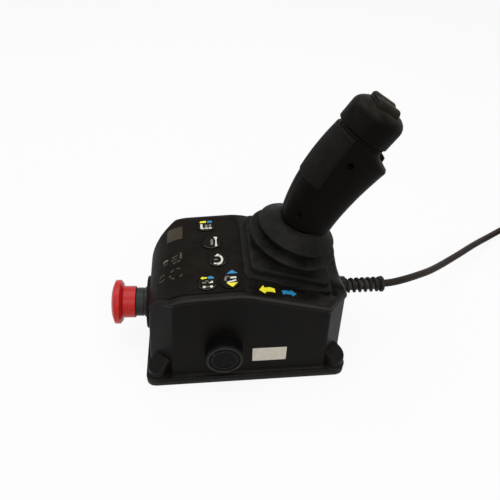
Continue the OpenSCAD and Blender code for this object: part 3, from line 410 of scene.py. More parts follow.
def curve_through(points, step):
    """A smooth path through points: a Catmull-Rom curve, taken again at even steps of its length."""
    points = np.asarray(points, float)
    ends = np.concatenate([[2 * points[0] - points[1]], points, [2 * points[-1] - points[-2]]])
    t = np.linspace(0, 1, 24, endpoint=False)[:, None]
    p0, p1, p2, p3 = (ends[i:len(ends) - 3 + i, None] for i in range(4))
    curve = 0.5 * (2 * p1 + (p2 - p0) * t + (2 * p0 - 5 * p1 + 4 * p2 - p3) * t ** 2
                   + (3 * p1 - p0 - 3 * p2 + p3) * t ** 3)
    curve = np.concatenate([curve.reshape(-1, 3), points[-1:]])
    run = lengths(curve)
    return walk(curve, run, np.linspace(0, run[-1], int(run[-1] / step) + 1))


# Shells, as points and faces

def grid(points, wrap_rows=False, cap_ends=False):
    """A shell over rings of points (rows, columns, 3): quads between neighbours, with end caps if asked."""
    rows, cols = points.shape[:2]
    r = np.arange(rows if wrap_rows else rows - 1)[:, None]
    c = np.arange(cols)[None, :]
    r2, c2 = (r + 1) % rows, (c + 1) % cols
    quads = np.stack([r * cols + c, r * cols + c2, r2 * cols + c2, r2 * cols + c], -1).reshape(-1, 4)
    caps = [list(range(cols)), list(range((rows - 1) * cols, rows * cols))] if cap_ends else []
    return points.reshape(-1, 3), quads.tolist() + caps


def revolved(profile, place, segments=72, closed=False):
    """A profile (radius, height) carried round Z: (r cos a, r sin a, h); a closed one makes a ring."""
    profile = np.asarray(profile, float)
    a = np.linspace(0, 2 * np.pi, segments, endpoint=False)
    r, h = profile[:, :1], profile[:, 1:]
    points = np.stack([r * np.cos(a), r * np.sin(a), h + 0 * a], -1)
    return grid(place(points), wrap_rows=closed, cap_ends=not closed)


def slab(outline, low, high, place, edge=0.0, steps=4):
    """A plate over a flat outline from low to high, whose rims are quarter arcs of an edge radius."""
    outline = np.asarray(outline, float)
    inward = -outward(outline)
    a = np.linspace(0, np.pi / 2, steps + 1) if edge else np.zeros(1)
    inset, rise = edge * (1 - np.sin(a)), edge * (1 - np.cos(a))
    rows = [*zip(inset, low + rise), *zip(inset[::-1], high - rise[::-1])]
    points = np.array([level(outline + i * inward, z) for i, z in rows])
    return grid(place(points), cap_ends=True)


def swept(path, radius, sides=20):
    """A round tube along a path; its ring is kept from twisting by a nearly upright line."""
    nearly_up = (0.02, 0.03, 1.0)
    along = unit(np.gradient(path, axis=0))
    side = unit(np.cross(along, nearly_up))
    up = np.cross(side, along)
    a = np.linspace(0, 2 * np.pi, sides, endpoint=False)[None, :, None]
    points = path[:, None] + radius * (np.cos(a) * side[:, None] + np.sin(a) * up[:, None])
    return grid(points, cap_ends=True)


# Pieces

def place_in_scene(name, data):
    """An object for a mesh, lamp or camera, linked to the scene."""
    thing = bpy.data.objects.new(name, data)
    bpy.context.scene.collection.objects.link(thing)
    return thing


def finish_piece(name, mesh, body, look, crease, stands_for):
    """Merges and shades a mesh, makes its object, gives it its finish and lets it ride on its body."""
    work = bmesh.new()
    work.from_mesh(mesh)
    bmesh.ops.remove_doubles(work, verts=work.verts, dist=1e-6)
    bmesh.ops.recalc_face_normals(work, faces=work.faces)
    work.to_mesh(mesh)
    work.free()
    mesh.shade_smooth()
    mesh.set_sharp_from_angle(angle=math.radians(crease))
    mesh.materials.append(look)
    piece = place_in_scene(name, mesh)
    if body:
        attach(piece, body)
    if stands_for:
        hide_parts(*stands_for)
    return piece


def add_piece(name, shells, body, look, crease=35.0, stands_for=()):
    """One object from closed shells, with its faces outward and edges sharper than the crease angle kept."""
    points, faces, start = [], [], 0
    for shell_points, shell_faces in shells:
        points.append(shell_points)
        faces += [[start + i for i in face] for face in shell_faces]
        start += len(shell_points)
    mesh = bpy.data.meshes.new(name)
    mesh.from_pydata((np.concatenate(points) * MM).tolist(), [], faces)
    return finish_piece(name, mesh, body, look, crease, stands_for)


def softened_copy(node, body, look, width):
    """A merged copy of a frame node in its place, whose sharp edges a Bevel modifier rounds."""
    mesh = NODES[node].data.copy()
    mesh.transform(NODES[node].matrix_world)
    mesh.materials.clear()
    if mesh.attributes.get("custom_normal"):
        mesh.attributes.remove(mesh.attributes["custom_normal"])
    piece = finish_piece(node + "_skin", mesh, body, look, 28.0, [node])
    bevel = piece.modifiers.new("soft_edges", "BEVEL")
    bevel.width = width * MM
    bevel.segments = 3
    bevel.limit_method = "ANGLE"
    bevel.angle_limit = math.radians(35)
    return piece


def vertex_values(piece):
    """The points in millimetres and the unit normals of a piece's vertices."""
    flat = np.empty(3 * len(piece.data.vertices), np.float32)
    piece.data.vertices.foreach_get("co", flat)
    points = flat.reshape(-1, 3) / MM
    piece.data.vertex_normals.foreach_get("vector", flat)
    return points, flat.reshape(-1, 3)


def move_vertices(piece, points):
    """Puts moved points, in millimetres, back into a piece's mesh."""
    piece.data.vertices.foreach_set("co", (points * MM).astype(np.float32).ravel())
    piece.data.update()


def set_painted_highlight(piece, values):
    """Stores a painted highlight for each vertex of a piece, as its rub values, for its finish."""
    layer = piece.data.attributes.new("rub", "FLOAT", "POINT")
    layer.data.foreach_set("value", np.ascontiguousarray(values, np.float32))


# Finishes

def tone(*values):
    """A written colour (0 to 255 for red, green, blue) as linear light with full cover."""
    c = np.array(values) / 255
    return (*np.where(c <= 0.04045, c / 12.92, ((c + 0.055) / 1.055) ** 2.4), 1.0)


def new_group(name, inputs, outputs):
    """An empty shader node group with its sockets, and its two end nodes."""
    group = bpy.data.node_groups.new(name, "ShaderNodeTree")
    for label, value in inputs.items():
        socket = group.interface.new_socket(label, in_out="INPUT", socket_type="NodeSocketFloat")
        socket.default_value = value
    for label in outputs:
        group.interface.new_socket(label, in_out="OUTPUT", socket_type="NodeSocketFloat")
    return group, group.nodes.new("NodeGroupInput").outputs, group.nodes.new("NodeGroupOutput").inputs


def add_node(tree, kind, links=None, **settings):
    """A node with its settings; links maps an input socket to a socket or a value."""
    node = tree.nodes.new("ShaderNode" + kind)
    for key, value in settings.items():
        setattr(node, key, value)
    for socket, value in (links or {}).items():
        if isinstance(value, bpy.types.NodeSocket):
            tree.links.new(value, node.inputs[socket])
        else:
            node.inputs[socket].default_value = value
    return node


def reckon(tree, operation, a, b):
    """The output of a Math node on two sockets or values."""
    return add_node(tree, "Math", {0: a, 1: b}, operation=operation).outputs[0]


def spread(tree, value, low, high):
    """A value spread so that low becomes 0 and high becomes 1."""
    return add_node(tree, "MapRange", {0: value, 1: low, 2: high}).outputs[0]


def cloud(tree, scale, detail, roughness=0.5):
    """Noise at a scale per metre, from Object coordinates."""
    place = add_node(tree, "TexCoord").outputs["Object"]
    links = {"Vector": place, "Scale": scale, "Detail": detail, "Roughness": roughness}
    return add_node(tree, "TexNoise", links).outputs[0]


def grain_group():
    """Moulded grain: fine pits at a size in millimetres, and a broad mottle in patches."""
    group, given, out = new_group("moulded_grain", {"Size": 0.8, "Patch": 30.0}, ["Height", "Mottle"])
    pits = cloud(group, reckon(group, "DIVIDE", 1.0 / MM, given["Size"]), 2.0, 0.6)
    patches = cloud(group, reckon(group, "DIVIDE", 1.0 / MM, given["Patch"]), 5.0, 0.65)
    group.links.new(pits, out["Height"])
    group.links.new(spread(group, patches, 0.3, 0.7), out["Mottle"])
    return group


def wear_and_highlight_group():
    """Rubbed edges: convex corners broken up by noise, and painted highlights: what a piece's own rub values
    add.
    """
    group, given, out = new_group("rubbed_edges", {"Amount": 0.5}, ["Mask"])
    edge = spread(group, add_node(group, "NewGeometry").outputs["Pointiness"], 0.51, 0.6)
    broken = reckon(group, "MULTIPLY", edge, spread(group, cloud(group, 140.0, 6.0), 0.35, 0.65))
    # The rub values hold painted highlights
    own = add_node(group, "Attribute", attribute_name="rub").outputs["Fac"]
    mask = reckon(group, "MAXIMUM", broken, own)
    group.links.new(reckon(group, "MULTIPLY", mask, given["Amount"]), out["Mask"])
    return group


def dust_and_sheen_group():
    """Settled dust, which also paints sheen on up-facing tops: more on faces that look up, in soft patches.
    """
    group, given, out = new_group("settled_dust", {"Amount": 0.5}, ["Mask"])
    normal = add_node(group, "NewGeometry").outputs["Normal"]
    up = spread(group, add_node(group, "SeparateXYZ", {0: normal}).outputs["Z"], 0.2, 1.0)
    mask = reckon(group, "MULTIPLY", up, spread(group, cloud(group, 55.0, 8.0, 0.7), 0.4, 0.75))
    group.links.new(reckon(group, "MULTIPLY", mask, given["Amount"]), out["Mask"])
    return group


GRAIN, WEAR_AND_HIGHLIGHT, DUST_AND_SHEEN = grain_group(), wear_and_highlight_group(), dust_and_sheen_group()
FINISHES = {}


def finish(name, base, second, rough, grain=0.8, bump=0.2, wear_and_highlight=0.0, dust=0.0, metal=0.0, shine=0.3,
           patch=30.0, worn_and_lit_tone=(120, 116, 108), dust_and_sheen_tone=(150, 143, 130)):
    """A finish in two mottled tones, with rubbed edges and painted highlights, settled dust that also paints
    sheen on up-facing tops, and a moulded grain.
    """
    material = bpy.data.materials.new(name)
    material.use_nodes = True
    tree = material.node_tree
    shader = tree.nodes["Principled BSDF"]
    height, mottle = add_node(tree, "Group", {"Size": grain, "Patch": patch}, node_tree=GRAIN).outputs
    colour = add_node(tree, "Mix", {0: mottle, 6: tone(*base), 7: tone(*second)}, data_type="RGBA").outputs[2]
    for amount, group, over in ((dust, DUST_AND_SHEEN, dust_and_sheen_tone), (wear_and_highlight, WEAR_AND_HIGHLIGHT, worn_and_lit_tone)):
        if amount:
            mask = add_node(tree, "Group", {"Amount": amount}, node_tree=group).outputs[0]
            colour = add_node(tree, "Mix", {0: mask, 6: colour, 7: tone(*over)}, data_type="RGBA").outputs[2]
    gloss = add_node(tree, "MapRange", {0: mottle, 3: rough - 0.05, 4: rough + 0.07})
    relief = add_node(tree, "Bump", {"Height": height, "Strength": bump, "Distance": 0.15 * MM})
    tree.links.new(colour, shader.inputs["Base Color"])
    tree.links.new(gloss.outputs[0], shader.inputs["Roughness"])
    tree.links.new(relief.outputs[0], shader.inputs["Normal"])
    shader.inputs["Metallic"].default_value = metal
    shader.inputs["Specular IOR Level"].default_value = shine
    FINISHES[name] = material
    return material


def ink(name, base, second, patch=5, shine=0.3):
    """A printed colour with a fine, shallow grain."""
    return finish(name, base, second, 0.5, grain=0.3, bump=0.05, patch=patch, shine=shine)


# The shell's wear also carries the lip's painted highlight
SHELL = finish("shell_plastic", (11, 10, 9), (17, 15, 13), 0.46, grain=0.7, bump=0.3, wear_and_highlight=0.25, dust=0.04,
               shine=0.06)
GASKET = finish("gasket_rubber", (20, 20, 20), (27, 27, 27), 0.7, shine=0.15)
OVERLAY = finish("overlay_film", (13, 10, 7), (19, 15, 11), 0.5, grain=0.35, bump=0.1, dust=0.02, shine=0.03)
WINDOW = finish("window_film", (50, 44, 31), (62, 55, 39), 0.25, grain=1.5, bump=0.02, patch=8, shine=0.1)
KEY = finish("key_film", (13, 10, 7), (19, 15, 11), 0.45, grain=0.35, bump=0.1, patch=9, shine=0.05)
LABEL = finish("label_film", (206, 199, 185), (190, 182, 167), 0.5, grain=0.5, bump=0.08, patch=7, dust=0.1)
STOP_RED = finish("stop_red", (192, 33, 29), (174, 24, 24), 0.34, grain=0.5, bump=0.05, wear_and_highlight=0.12, shine=0.25,
                  worn_and_lit_tone=(228, 120, 110))
COLLAR = finish("collar_grey", (33, 35, 35), (44, 46, 45), 0.42, grain=0.6, bump=0.2, wear_and_highlight=0.3, shine=0.15)
# The sounder's wear also carries the painted highlight on its rings
SOUNDER = finish("sounder_plastic", (9, 9, 9), (14, 13, 13), 0.46, grain=0.6, bump=0.22, wear_and_highlight=0.3, shine=0.05)
RUBBER = finish("boot_rubber", (12, 12, 11), (19, 19, 17), 0.58, grain=0.9, bump=0.3, dust=0.05, wear_and_highlight=0.12,
                shine=0.06)
# Grip plastic: its dust lightens the up-facing cap top, partly dust and partly painted sheen
GRIP = finish("grip_plastic", (9, 7, 5), (14, 11, 9), 0.44, grain=0.6, bump=0.25, dust=0.1, shine=0.03)
# Rocker: lighter tones than the grip plastic and more up-facing dust, as painted sheen where its top catches
# the light
ROCKER = finish("rocker_plastic", (27, 22, 18), (37, 30, 25), 0.5, grain=0.6, bump=0.25, dust=0.12,
                shine=0.06)
PAD = finish("pad_rubber", (14, 13, 12), (20, 18, 16), 0.6, grain=0.5, bump=0.3, dust=0.05, shine=0.05)
# Grip screws: near-black, dull and not metallic, as painted shade at the bottoms of their wells
SCREW_IN_PAINTED_SHADE = finish("dark_screw_steel", (17, 16, 15), (12, 11, 11), 0.6, grain=0.4, bump=0.1, patch=4,
                    shine=0.03)
GLAND = finish("gland_plastic", (20, 20, 19), (28, 27, 26), 0.45, grain=0.6, bump=0.2, wear_and_highlight=0.3, shine=0.1)
CORD = finish("cord_rubber", (27, 20, 16), (37, 29, 24), 0.5, grain=0.8, bump=0.25, dust=0.05, patch=18,
              shine=0.1)
finish("base_paint", (52, 53, 54), (62, 63, 64), 0.5, grain=0.5, bump=0.3, wear_and_highlight=0.3)
finish("inner_plastic", (48, 48, 50), (58, 58, 60), 0.5)
finish("board_laminate", (24, 84, 50), (30, 98, 60), 0.45, grain=0.4, bump=0.1, patch=6)
finish("frame_steel", (168, 170, 172), (146, 148, 150), 0.34, grain=0.4, bump=0.1, metal=1.0)
finish("screw_steel", (150, 150, 150), (120, 120, 122), 0.36, grain=0.4, bump=0.1, metal=1.0, patch=4)
WHITE_INK = ink("white_ink", (224, 221, 211), (202, 198, 187))
GREY_INK = ink("grey_ink", (126, 120, 108), (104, 98, 88))
# Dim ink: printed dim lamps, and the painted highlights on the near key rims
DIM_INK_AND_HIGHLIGHT = ink("dim_ink", (74, 69, 60), (54, 50, 43), patch=4, shine=0.15)
YELLOW_INK = ink("yellow_ink", (240, 232, 52), (226, 214, 44))
BLUE_INK = ink("blue_ink", (44, 134, 178), (36, 116, 162))


# Top of the housing

def side_outline(run, rear_z, radii):
    """The top of the housing from the side: rear wall, rolled shoulder, panel, ridge and deck."""
    shoulder_x = END_LEDGE - BASE_L / 2 + run
    far_x = X_FRONT + 10
    corners = [(rear_x(0), 0), (rear_x(rear_z), rear_z),
               (shoulder_x, RIDGE[1] - (RIDGE[0] - shoulder_x) * tan(PANEL_ANGLE)), RIDGE,
               (far_x, RIDGE[1] - (far_x - RIDGE[0]) * tan(DECK_ANGLE))]
    return rounded(corners, [0, *radii, RIDGE_R, 0], steps=40, closed=False)


OUTLINE = side_outline(*SHOULDER)
OUTLINE_C = lengths(OUTLINE)
RIDGE_C = np.interp(RIDGE[0], OUTLINE[:, 0], OUTLINE_C)


def top_z(x):
    """Height of the top at x."""
    return np.interp(x, OUTLINE[:, 0], OUTLINE[:, 1])


def top_point(c, y, drop=0.0):
    """The point on the top at length c along the side outline, sunk by a drop square to the surface."""
    step = 0.5
    here = walk(OUTLINE, OUTLINE_C, c)
    slope = unit(walk(OUTLINE, OUTLINE_C, c + step) - walk(OUTLINE, OUTLINE_C, c - step))
    x, z = here[..., 0] + drop * slope[..., 1], here[..., 1] - drop * slope[..., 0]
    return np.stack([x, y + 0 * x, z], -1)


def on_top(points):
    """The frame that follows the top: length from the ridge, width, and height above it."""
    points = np.asarray(points, float)
    return top_point(RIDGE_C + points[..., 0], points[..., 1], -points[..., 2])


def rim_rise(x, y):
    """How far the lip stands above the deck: more towards the front corners, with a dip between them."""
    run = X_FRONT + FRONT_PROUD - FRONT_CUT[0] - RIDGE[0]
    along = np.clip((x - RIDGE[0]) / run, 0, 1.15) ** 1.1
    return DECK_RISE * along * smooth((np.abs(y) - DIP_HALF) / DIP_RUN)


# Walls of the housing

def plan_corners(z):
    """The eight corners of the walls at height z, counter-clockwise from the rear near one."""
    back, front, half = rear_x(z), X_FRONT + FRONT_PROUD, side_y(z)
    (rear_l, rear_w), (front_l, front_w) = REAR_CUT, FRONT_CUT
    return [(back, rear_w - half), (back + rear_l, -half), (front - front_l, -half), (front, front_w - half),
            (front, half - front_w), (front - front_l, half), (back + rear_l, half), (back, half - rear_w)]


def plan_lines():
    """The plan outline on the flange, its move for each millimetre of height, and its outward normals."""
    low, high = (rounded(plan_corners(FLANGE_H + rise), CORNER_R, steps=6) for rise in (0, PLAN_RISE))
    counts = np.maximum(1, np.linalg.norm(np.roll(low, -1, axis=0) - low, axis=1) / PLAN_STEP).astype(int)
    low, high = divided(low, counts), divided(high, counts)
    return low, (high - low) / PLAN_RISE, outward(low)


PLAN, PLAN_DRIFT, PLAN_OUT = plan_lines()


def wall(z, out=0.0):
    """The plan outline P(z) = P(flange) + (z - flange) D, moved out along its normals."""
    return PLAN + (np.asarray(z) - FLANGE_H)[..., None] * PLAN_DRIFT + np.asarray(out)[..., None] * PLAN_OUT


def wall_row(z, out=0.0):
    """A row on the wall at height z, moved out."""
    return level(wall(z, out), z)


def flange_plan(inset):
    """The flange's rounded rectangle, drawn in by an inset, with a point for each point of the walls."""
    half = np.array([BASE_L / 2 - inset, BASE_W / 2 - inset])
    return rounded_box(PLAN, half, max(FLANGE_R - inset, 0.5))


def flange_rows():
    """The underside rim, the flange and a fillet up to the wall, and the fillet's radius at each point."""
    ledge = np.linalg.norm(flange_plan(0) - PLAN, axis=1)
    root = np.clip(ledge - FLANGE_EDGE - 0.1, ROOT_LEAST, ROOT_MOST)
    reach = range(-9, 10)
    root = sum(np.roll(root, k) for k in reach) / len(reach)
    root = np.minimum(root, np.maximum(ledge - FLANGE_EDGE - 0.05, 0.9))
    edge = [(FLANGE_EDGE * (1 - np.cos(b)), FLANGE_H - FLANGE_EDGE * (1 - np.sin(b))) for b in QUARTER]
    rows = [level(flange_plan(inset), z) for inset, z in FLANGE_FOOT + edge]
    rows += [wall_row(FLANGE_H + root * (1 - np.cos(b)), root * (1 - np.sin(b))) for b in QUARTER]
    return rows, root


def wall_tops():
    """The height at which each line of the wall meets the top, z = top(x(z)) + rise, by halving."""
    bottom, above = np.full(len(PLAN), 20.0), np.full(len(PLAN), 110.0)
    for _ in range(40):
        middle = (bottom + above) / 2
        plan = wall(middle)
        under = middle < top_z(plan[:, 0]) + rim_rise(*plan.T) + 1e-3
        bottom, above = np.where(under, middle, bottom), np.where(under, above, middle)
    return bottom


def housing_walls():
    """The housing: a profile (underside rim, flange, wall, lip, top, deck hole, inner skin) round its plan.
    Each row is an offset from the plan outline, and the top runs from the edge to the round deck hole in
    straight lines of (length, width). Also gives the lip as (length and width from the joystick, rise)."""
    rows, root = flange_rows()
    edge_z = wall_tops()
    rise = rim_rise(*wall(edge_z).T)
    for t in np.linspace(0.05, 1, 16):
        rows.append(wall_row(FLANGE_H + root + (edge_z - LIP_DROP - FLANGE_H - root) * t))

    # The lip stands out of every wall but the rear one, and fades over the rear corner faces
    ahead = (wall(edge_z)[:, 0] - rear_x(edge_z)) / REAR_CUT[0]
    lip = smooth((ahead - 0.55) / 0.45)
    bead = [(LIP_BEAD * (1 - np.sin(b)), LIP_OUT - LIP_BEAD * (1 - np.cos(b)))
            for b in np.linspace(0, np.pi / 2, 11)]
    lip_start = len(rows) - 1
    for drop, out in LIP_FOOT + bead:
        plan = wall(edge_z - drop, out * lip if out > 0 else out)
        rows.append(level(plan, top_z(plan[:, 0]) + rise - drop))
    lip_end = len(rows) + LIP_BLEND

    # The top, whose banks rise from the boot's foot to the lip
    c_rim, c_stick = (np.interp(x, OUTLINE[:, 0], OUTLINE_C) for x in (rows[-1][:, 0], STICK_POINT[0]))
    span = np.column_stack([c_rim - c_stick, rows[-1][:, 1] - STICK_T])
    hole = DECK_HOLE_R / np.linalg.norm(span, axis=1)
    foot = FOOT_HALF / np.max(np.abs(span), axis=1)

    def top_row(q, drop=0.0):
        share = hole + (1 - hole) * q
        return share, top_point(c_stick + share * span[:, 0], STICK_T + share * span[:, 1], drop)

    for q in np.linspace(1, 0, 64)[1:]:
        share, row = top_row(q)
        bank = np.clip((share - foot) / (1 - foot), 0, 1)
        rows.append(row + (rise * bank)[:, None] * (0, 0, 1))
    for _ in range(2):
        block = np.array(rows[lip_start:lip_end])
        block[1:-1] = (block[:-2] + 2 * block[1:-1] + block[2:]) / 4
        rows[lip_start:lip_end] = list(block)

    # Inner skin, back down to the seat of the base plate
    rows += [top_row(q, WALL)[1] for q in (0, 0.3, 0.6, 0.9, 0.96)]
    inner_z = edge_z - INNER_DROP
    rows += [wall_row(inner_z + (SEAT_Z - inner_z) * t, -WALL) for t in (0.02, 0.35, 0.7, 1)]
    return grid(np.array(rows), wrap_rows=True), np.column_stack([span, rise])


def corner_boss(x, y):
    """A corner boss: a post with a fillet at its foot and a soft rim, whose top slopes down outwards by a
    shear z - slope u t, where t grows from 0 above the fillet to 1 at the rim. Outwards (u > 0) the plan is
    round, and inwards it is the squarer |u|^6 + |v|^6 = r^6, which runs into the corner face."""
    foot_h, rim_h = FLANGE_H + BOSS_FOOT, BOSS_MID - BOSS_RIM
    post = [(BOSS_R + out, FLANGE_H + up) for out, up in BOSS_FILLET]
    post += [(BOSS_R, h) for h in np.linspace(foot_h + 1, rim_h, 6)]
    post += [(BOSS_R - BOSS_RIM * (1 - np.cos(b)), rim_h + BOSS_RIM * np.sin(b)) for b in QUARTER[1:]]
    post += [(share * (BOSS_R - BOSS_RIM), BOSS_MID) for share in (0.8, 0.6, 0.4)]
    middle = np.array([x * (BASE_L / 2 - BOSS_INSET) + BOSS_AHEAD, y * (BASE_W / 2 - BOSS_INSET), 0])
    out, across = np.array([x, y, 0]) / math.sqrt(2), np.array([-y, x, 0]) / math.sqrt(2)

    def sloped(points):
        u, v, h = points @ out, points @ across, points[..., 2]
        squarer = np.where(u < 0, (u ** 6 + v ** 6) ** (-1 / 6) * np.hypot(u, v), 1)
        u, v = squarer * u, squarer * v
        share = np.clip((h - foot_h) / (rim_h - foot_h), 0, 1)
        height = (h - BOSS_SLOPE * share * u)[..., None] * (0, 0, 1)
        return middle + u[..., None] * out + v[..., None] * across + height

    return revolved(post, sloped, 48)


def lip_painted_highlight(housing):
    """A painted highlight on the housing, kept as its rub values: only its lip, where the skin turns from the
    outer walls to the top.
    """
    points, normals = vertex_values(housing)
    outer = np.hypot(normals[:, 1], np.maximum(normals[:, 0], 0))
    on_lip = smooth((outer - 0.42) / 0.2) * smooth((normals[:, 2] - 0.2) / 0.25)
    return PAINTED_HIGHLIGHT_MOST * on_lip * (top_z(points[:, 0]) - points[:, 2] < LIP_HIGHLIGHT_DROP)


WALLS, LIP_EDGE = housing_walls()
BOSSES = [corner_boss(x, y) for x, y in ((1, 1), (1, -1), (-1, 1), (-1, -1))]
housing = add_piece("housing_skin", [WALLS, *BOSSES], "box", SHELL, 50, ["housing_shell"])
# The lip's lighter band is a painted highlight
set_painted_highlight(housing, lip_painted_highlight(housing))


# Joystick boot

def boot_shell():
    """The boot: rounded squares for its foot and block, then circles for the bellows and the inside, each
    row on rays about the joystick; the bellows follow a smooth curve through their rows."""
    a = np.linspace(0, 2 * np.pi, 144, endpoint=False)
    rays = np.stack([np.cos(a), np.sin(a)], -1)
    bellows = curve_through(np.column_stack([BOOT_BELLOWS, np.zeros(len(BOOT_BELLOWS))]), 0.55)[:, :2]
    rows = [*BOOT_SQUARE, *((r, r, h) for r, h in [*bellows, *BOOT_INSIDE]), BOOT_MOUTH]
    points = np.array([level(rounded_box(rays, half, corner), h) for half, corner, h in rows])
    return grid(on_stick(points), wrap_rows=True)


boot = add_piece("boot_skin", [boot_shell()], None, RUBBER, 60)
on_stick([0, 0, BOOT_BEND]) * MM
on_stick([0, 0, BOOT_TOP - 1]) * MM
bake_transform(boot)
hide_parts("boot")


# Joystick grip

def through(a, b, c, f):
    """The parabola that has the values a, b and c at f = 0, the palm and 1."""
    bend = ((b - a) / PALM_F - (c - a)) / (PALM_F - 1)
    return a + (c - a - bend) * f + bend * f * f


def grip_back(f):
    """How far the grip reaches behind its axis at f."""
    return through(GRIP_FOOT_R, GRIP_PALM_R, GRIP_NECK_R, f)


def grip_front(f):
    """How far the grip reaches ahead of its axis at f: it swells to the chin and falls away to the neck."""
    swell = GRIP_HEEL_R + (GRIP_CHIN_R - GRIP_HEEL_R) * np.clip(f / CHIN_F, 0, 1) ** CHIN_POWER
    fall = 0.5 - 0.5 * np.cos(np.pi * np.clip((f - CHIN_F) / CHIN_DROP, 0, 1))
    return swell + (GRIP_NECK_FRONT - GRIP_CHIN_R) * fall


def grip_point(f, ahead, across, out=0.0):
    """A point of the grip: f along its raked axis, ahead and across as shares of its oval, grown by out."""
    lean = np.arctan(2 * GRIP_RAKE * f / GRIP_L)
    width = through(GRIP_HALF_W - GRIP_WAIST, GRIP_HALF_W + GRIP_WAIST, GRIP_HALF_W, f)
    x, y = ahead * (np.where(ahead > 0, grip_front(f), grip_back(f)) + out), across * (width + out)
    return np.stack([GRIP_FOOT_U + GRIP_RAKE * f * f + x * np.cos(lean), y,
                     GRIP_Z + GRIP_L * f - x * np.sin(lean)], -1)


def oval(share):
    """The other coordinate of the grip's oval: (1 - |s|^n)^(1/n)."""
    return np.clip(1 - np.abs(share) ** ROUNDNESS, 0, 1) ** (1 / ROUNDNESS)


def well_place(u, w):
    """A screw well's share f of the grip's length, its share of the reach ahead, and that reach."""
    f = (w - GRIP_Z) / GRIP_L
    for _ in range(6):
        lean = math.atan(2 * GRIP_RAKE * f / GRIP_L)
        x = (u - GRIP_FOOT_U - GRIP_RAKE * f * f) / math.cos(lean)
        f = (w - GRIP_Z + x * math.sin(lean)) / GRIP_L
    reach = float(grip_front(f) if x > 0 else grip_back(f))
    return f, x / reach, reach


def merged(*parts):
    """Sorted station values with near doubles left out."""
    values = np.sort(np.concatenate(parts))
    return values[np.concatenate([[True], np.diff(values) > 2e-4])]


def grip_half(side):
    """One grip shell: f along the axis by place along the chord, y = W (1 - |x|^n)^(1/n), with a slot for the
    trigger, two round screw wells (square grid lines drawn in to circles) and a groove under the cap."""
    wells = [well_place(*spot) for spot in SCREW_SPOTS]
    lines = np.array([-line for line in WELL_LINES[:0:-1]] + WELL_LINES)
    slot_x = oval(SLOT_HALF / (GRIP_HALF_W + 0.2))
    turn = np.cos(np.linspace(0, np.pi, 61))
    x_lines = merged(np.sign(turn) * np.abs(turn) ** (2 / ROUNDNESS), slot_x + np.array([0, 0.0015]),
                     *[x + lines / reach for _, x, reach in wells])
    gap = np.array([-LINE_GAP, LINE_GAP])
    f_lines = merged(np.linspace(0, 1, 90), np.array([0.002, 0.005, 0.009, 0.014]),
                     *[stop + gap for stop in SLOT_F + GROOVE_F], *[f + lines / GRIP_L for f, _, _ in wells])
    f, x = np.meshgrid(f_lines, x_lines, indexing="ij")

    depth = np.zeros_like(f)
    for well_f, well_x, reach in wells:
        p, q = (x - well_x) * reach, (f - well_f) * GRIP_L
        box, ring = np.maximum(np.abs(p), np.abs(q)), np.maximum(np.hypot(p, q), 1e-9)
        keep = smooth((box - WELL_ROUND) / (WELL_REACH - WELL_ROUND))
        scale = np.where(box < WELL_REACH, keep + (1 - keep) * box / ring, 1)
        x, f = x + (scale - 1) * p / reach, f + (scale - 1) * q / GRIP_L
        depth = np.where(box < WELL_R, WELL_DEPTH, depth)

    across = side * oval(x)
    foot = GRIP_EDGE * (1 - np.sqrt(1 - np.clip(1 - f * GRIP_L / GRIP_EDGE, 0, 1) ** 2))
    seam = SEAM_DEPTH * (1 - smooth(np.abs(across) * GRIP_HALF_W / SEAM_HALF))
    groove = GROOVE_DEPTH * ((f > GROOVE_F[0]) & (f < GROOVE_F[1]))
    points = grip_point(f, x, across, -foot - seam - groove)
    points[..., 0] -= SLOT_DEPTH * ((x > slot_x + 0.0007) & (f > SLOT_F[0]) & (f < SLOT_F[1]))
    points[..., 1] = side * np.maximum(side * points[..., 1] - depth, SPLIT_HALF)
    flat = points.copy()
    flat[..., 1] = side * SPLIT_HALF
    return grid(on_stick(np.concatenate([points, flat[:, ::-1]], axis=1)), cap_ends=True)


def grip_pad_shell():
    """The pad on the back of the grip: a raised sheet whose height is T border - D field rib^1.5, with
    cross ribs 0.5 - 0.5 cos along the grip; border and field fall to 0 in smooth steps at the edges."""
    low, high = PAD_F
    count = int((high - low) * GRIP_L / RIB_PITCH)
    f = np.linspace(low, high, count * 8 + 1)[:, None]
    limit = np.arccos((PAD_REACH / grip_back(f)) ** (ROUNDNESS / 2))
    t = np.linspace(-1, 1, 57)[None, :]
    a = t * limit
    ahead = -np.abs(np.cos(a)) ** (2 / ROUNDNESS)
    across = np.sign(a) * np.abs(np.sin(a)) ** (2 / ROUNDNESS)

    def field(inset_t, inset_f, fade_f):
        ends = smooth((f - low - inset_f) / fade_f) * smooth((high - inset_f - f) / fade_f)
        return smooth((1 - inset_t - np.abs(t)) / 0.05) * ends

    rib = 0.5 - 0.5 * np.cos(2 * np.pi * (f - low) * count / (high - low))
    height = PAD_T * field(0, 0, 0.012) - RIB_DEPTH * field(0.1, 0.02, 0.01) * rib ** 1.5
    f = f + 0 * a
    outer = grip_point(f, ahead, across, height + 0.02)
    inner = grip_point(f, ahead, across, -PAD_SUNK)[:, ::-1]
    return grid(on_stick(np.concatenate([outer, inner], axis=1)), cap_ends=True)


for half, side in (("near", -1), ("far", 1)):
    shell = grip_half(side)
    add_piece(f"grip_{half}_skin", [shell], "stick", GRIP, 40, [f"grip_{half}_half"])
add_piece("grip_pad_skin", [grip_pad_shell()], "stick", PAD, 50, ["grip_pad"])


# Cap, rocker and trigger

CAP_X, CAP_N = turned(math.degrees(math.atan(2 * GRIP_RAKE / GRIP_L)))
CAP_FOOT = np.array([GRIP_FOOT_U + GRIP_RAKE, 0, GRIP_Z + GRIP_L]) - CAP_BACK * CAP_X


def on_cap(points):
    """The cap's frame, whose origin lies on the seam under the cap."""
    return on_stick(frame_at(CAP_FOOT, CAP_X, CAP_N)(points))


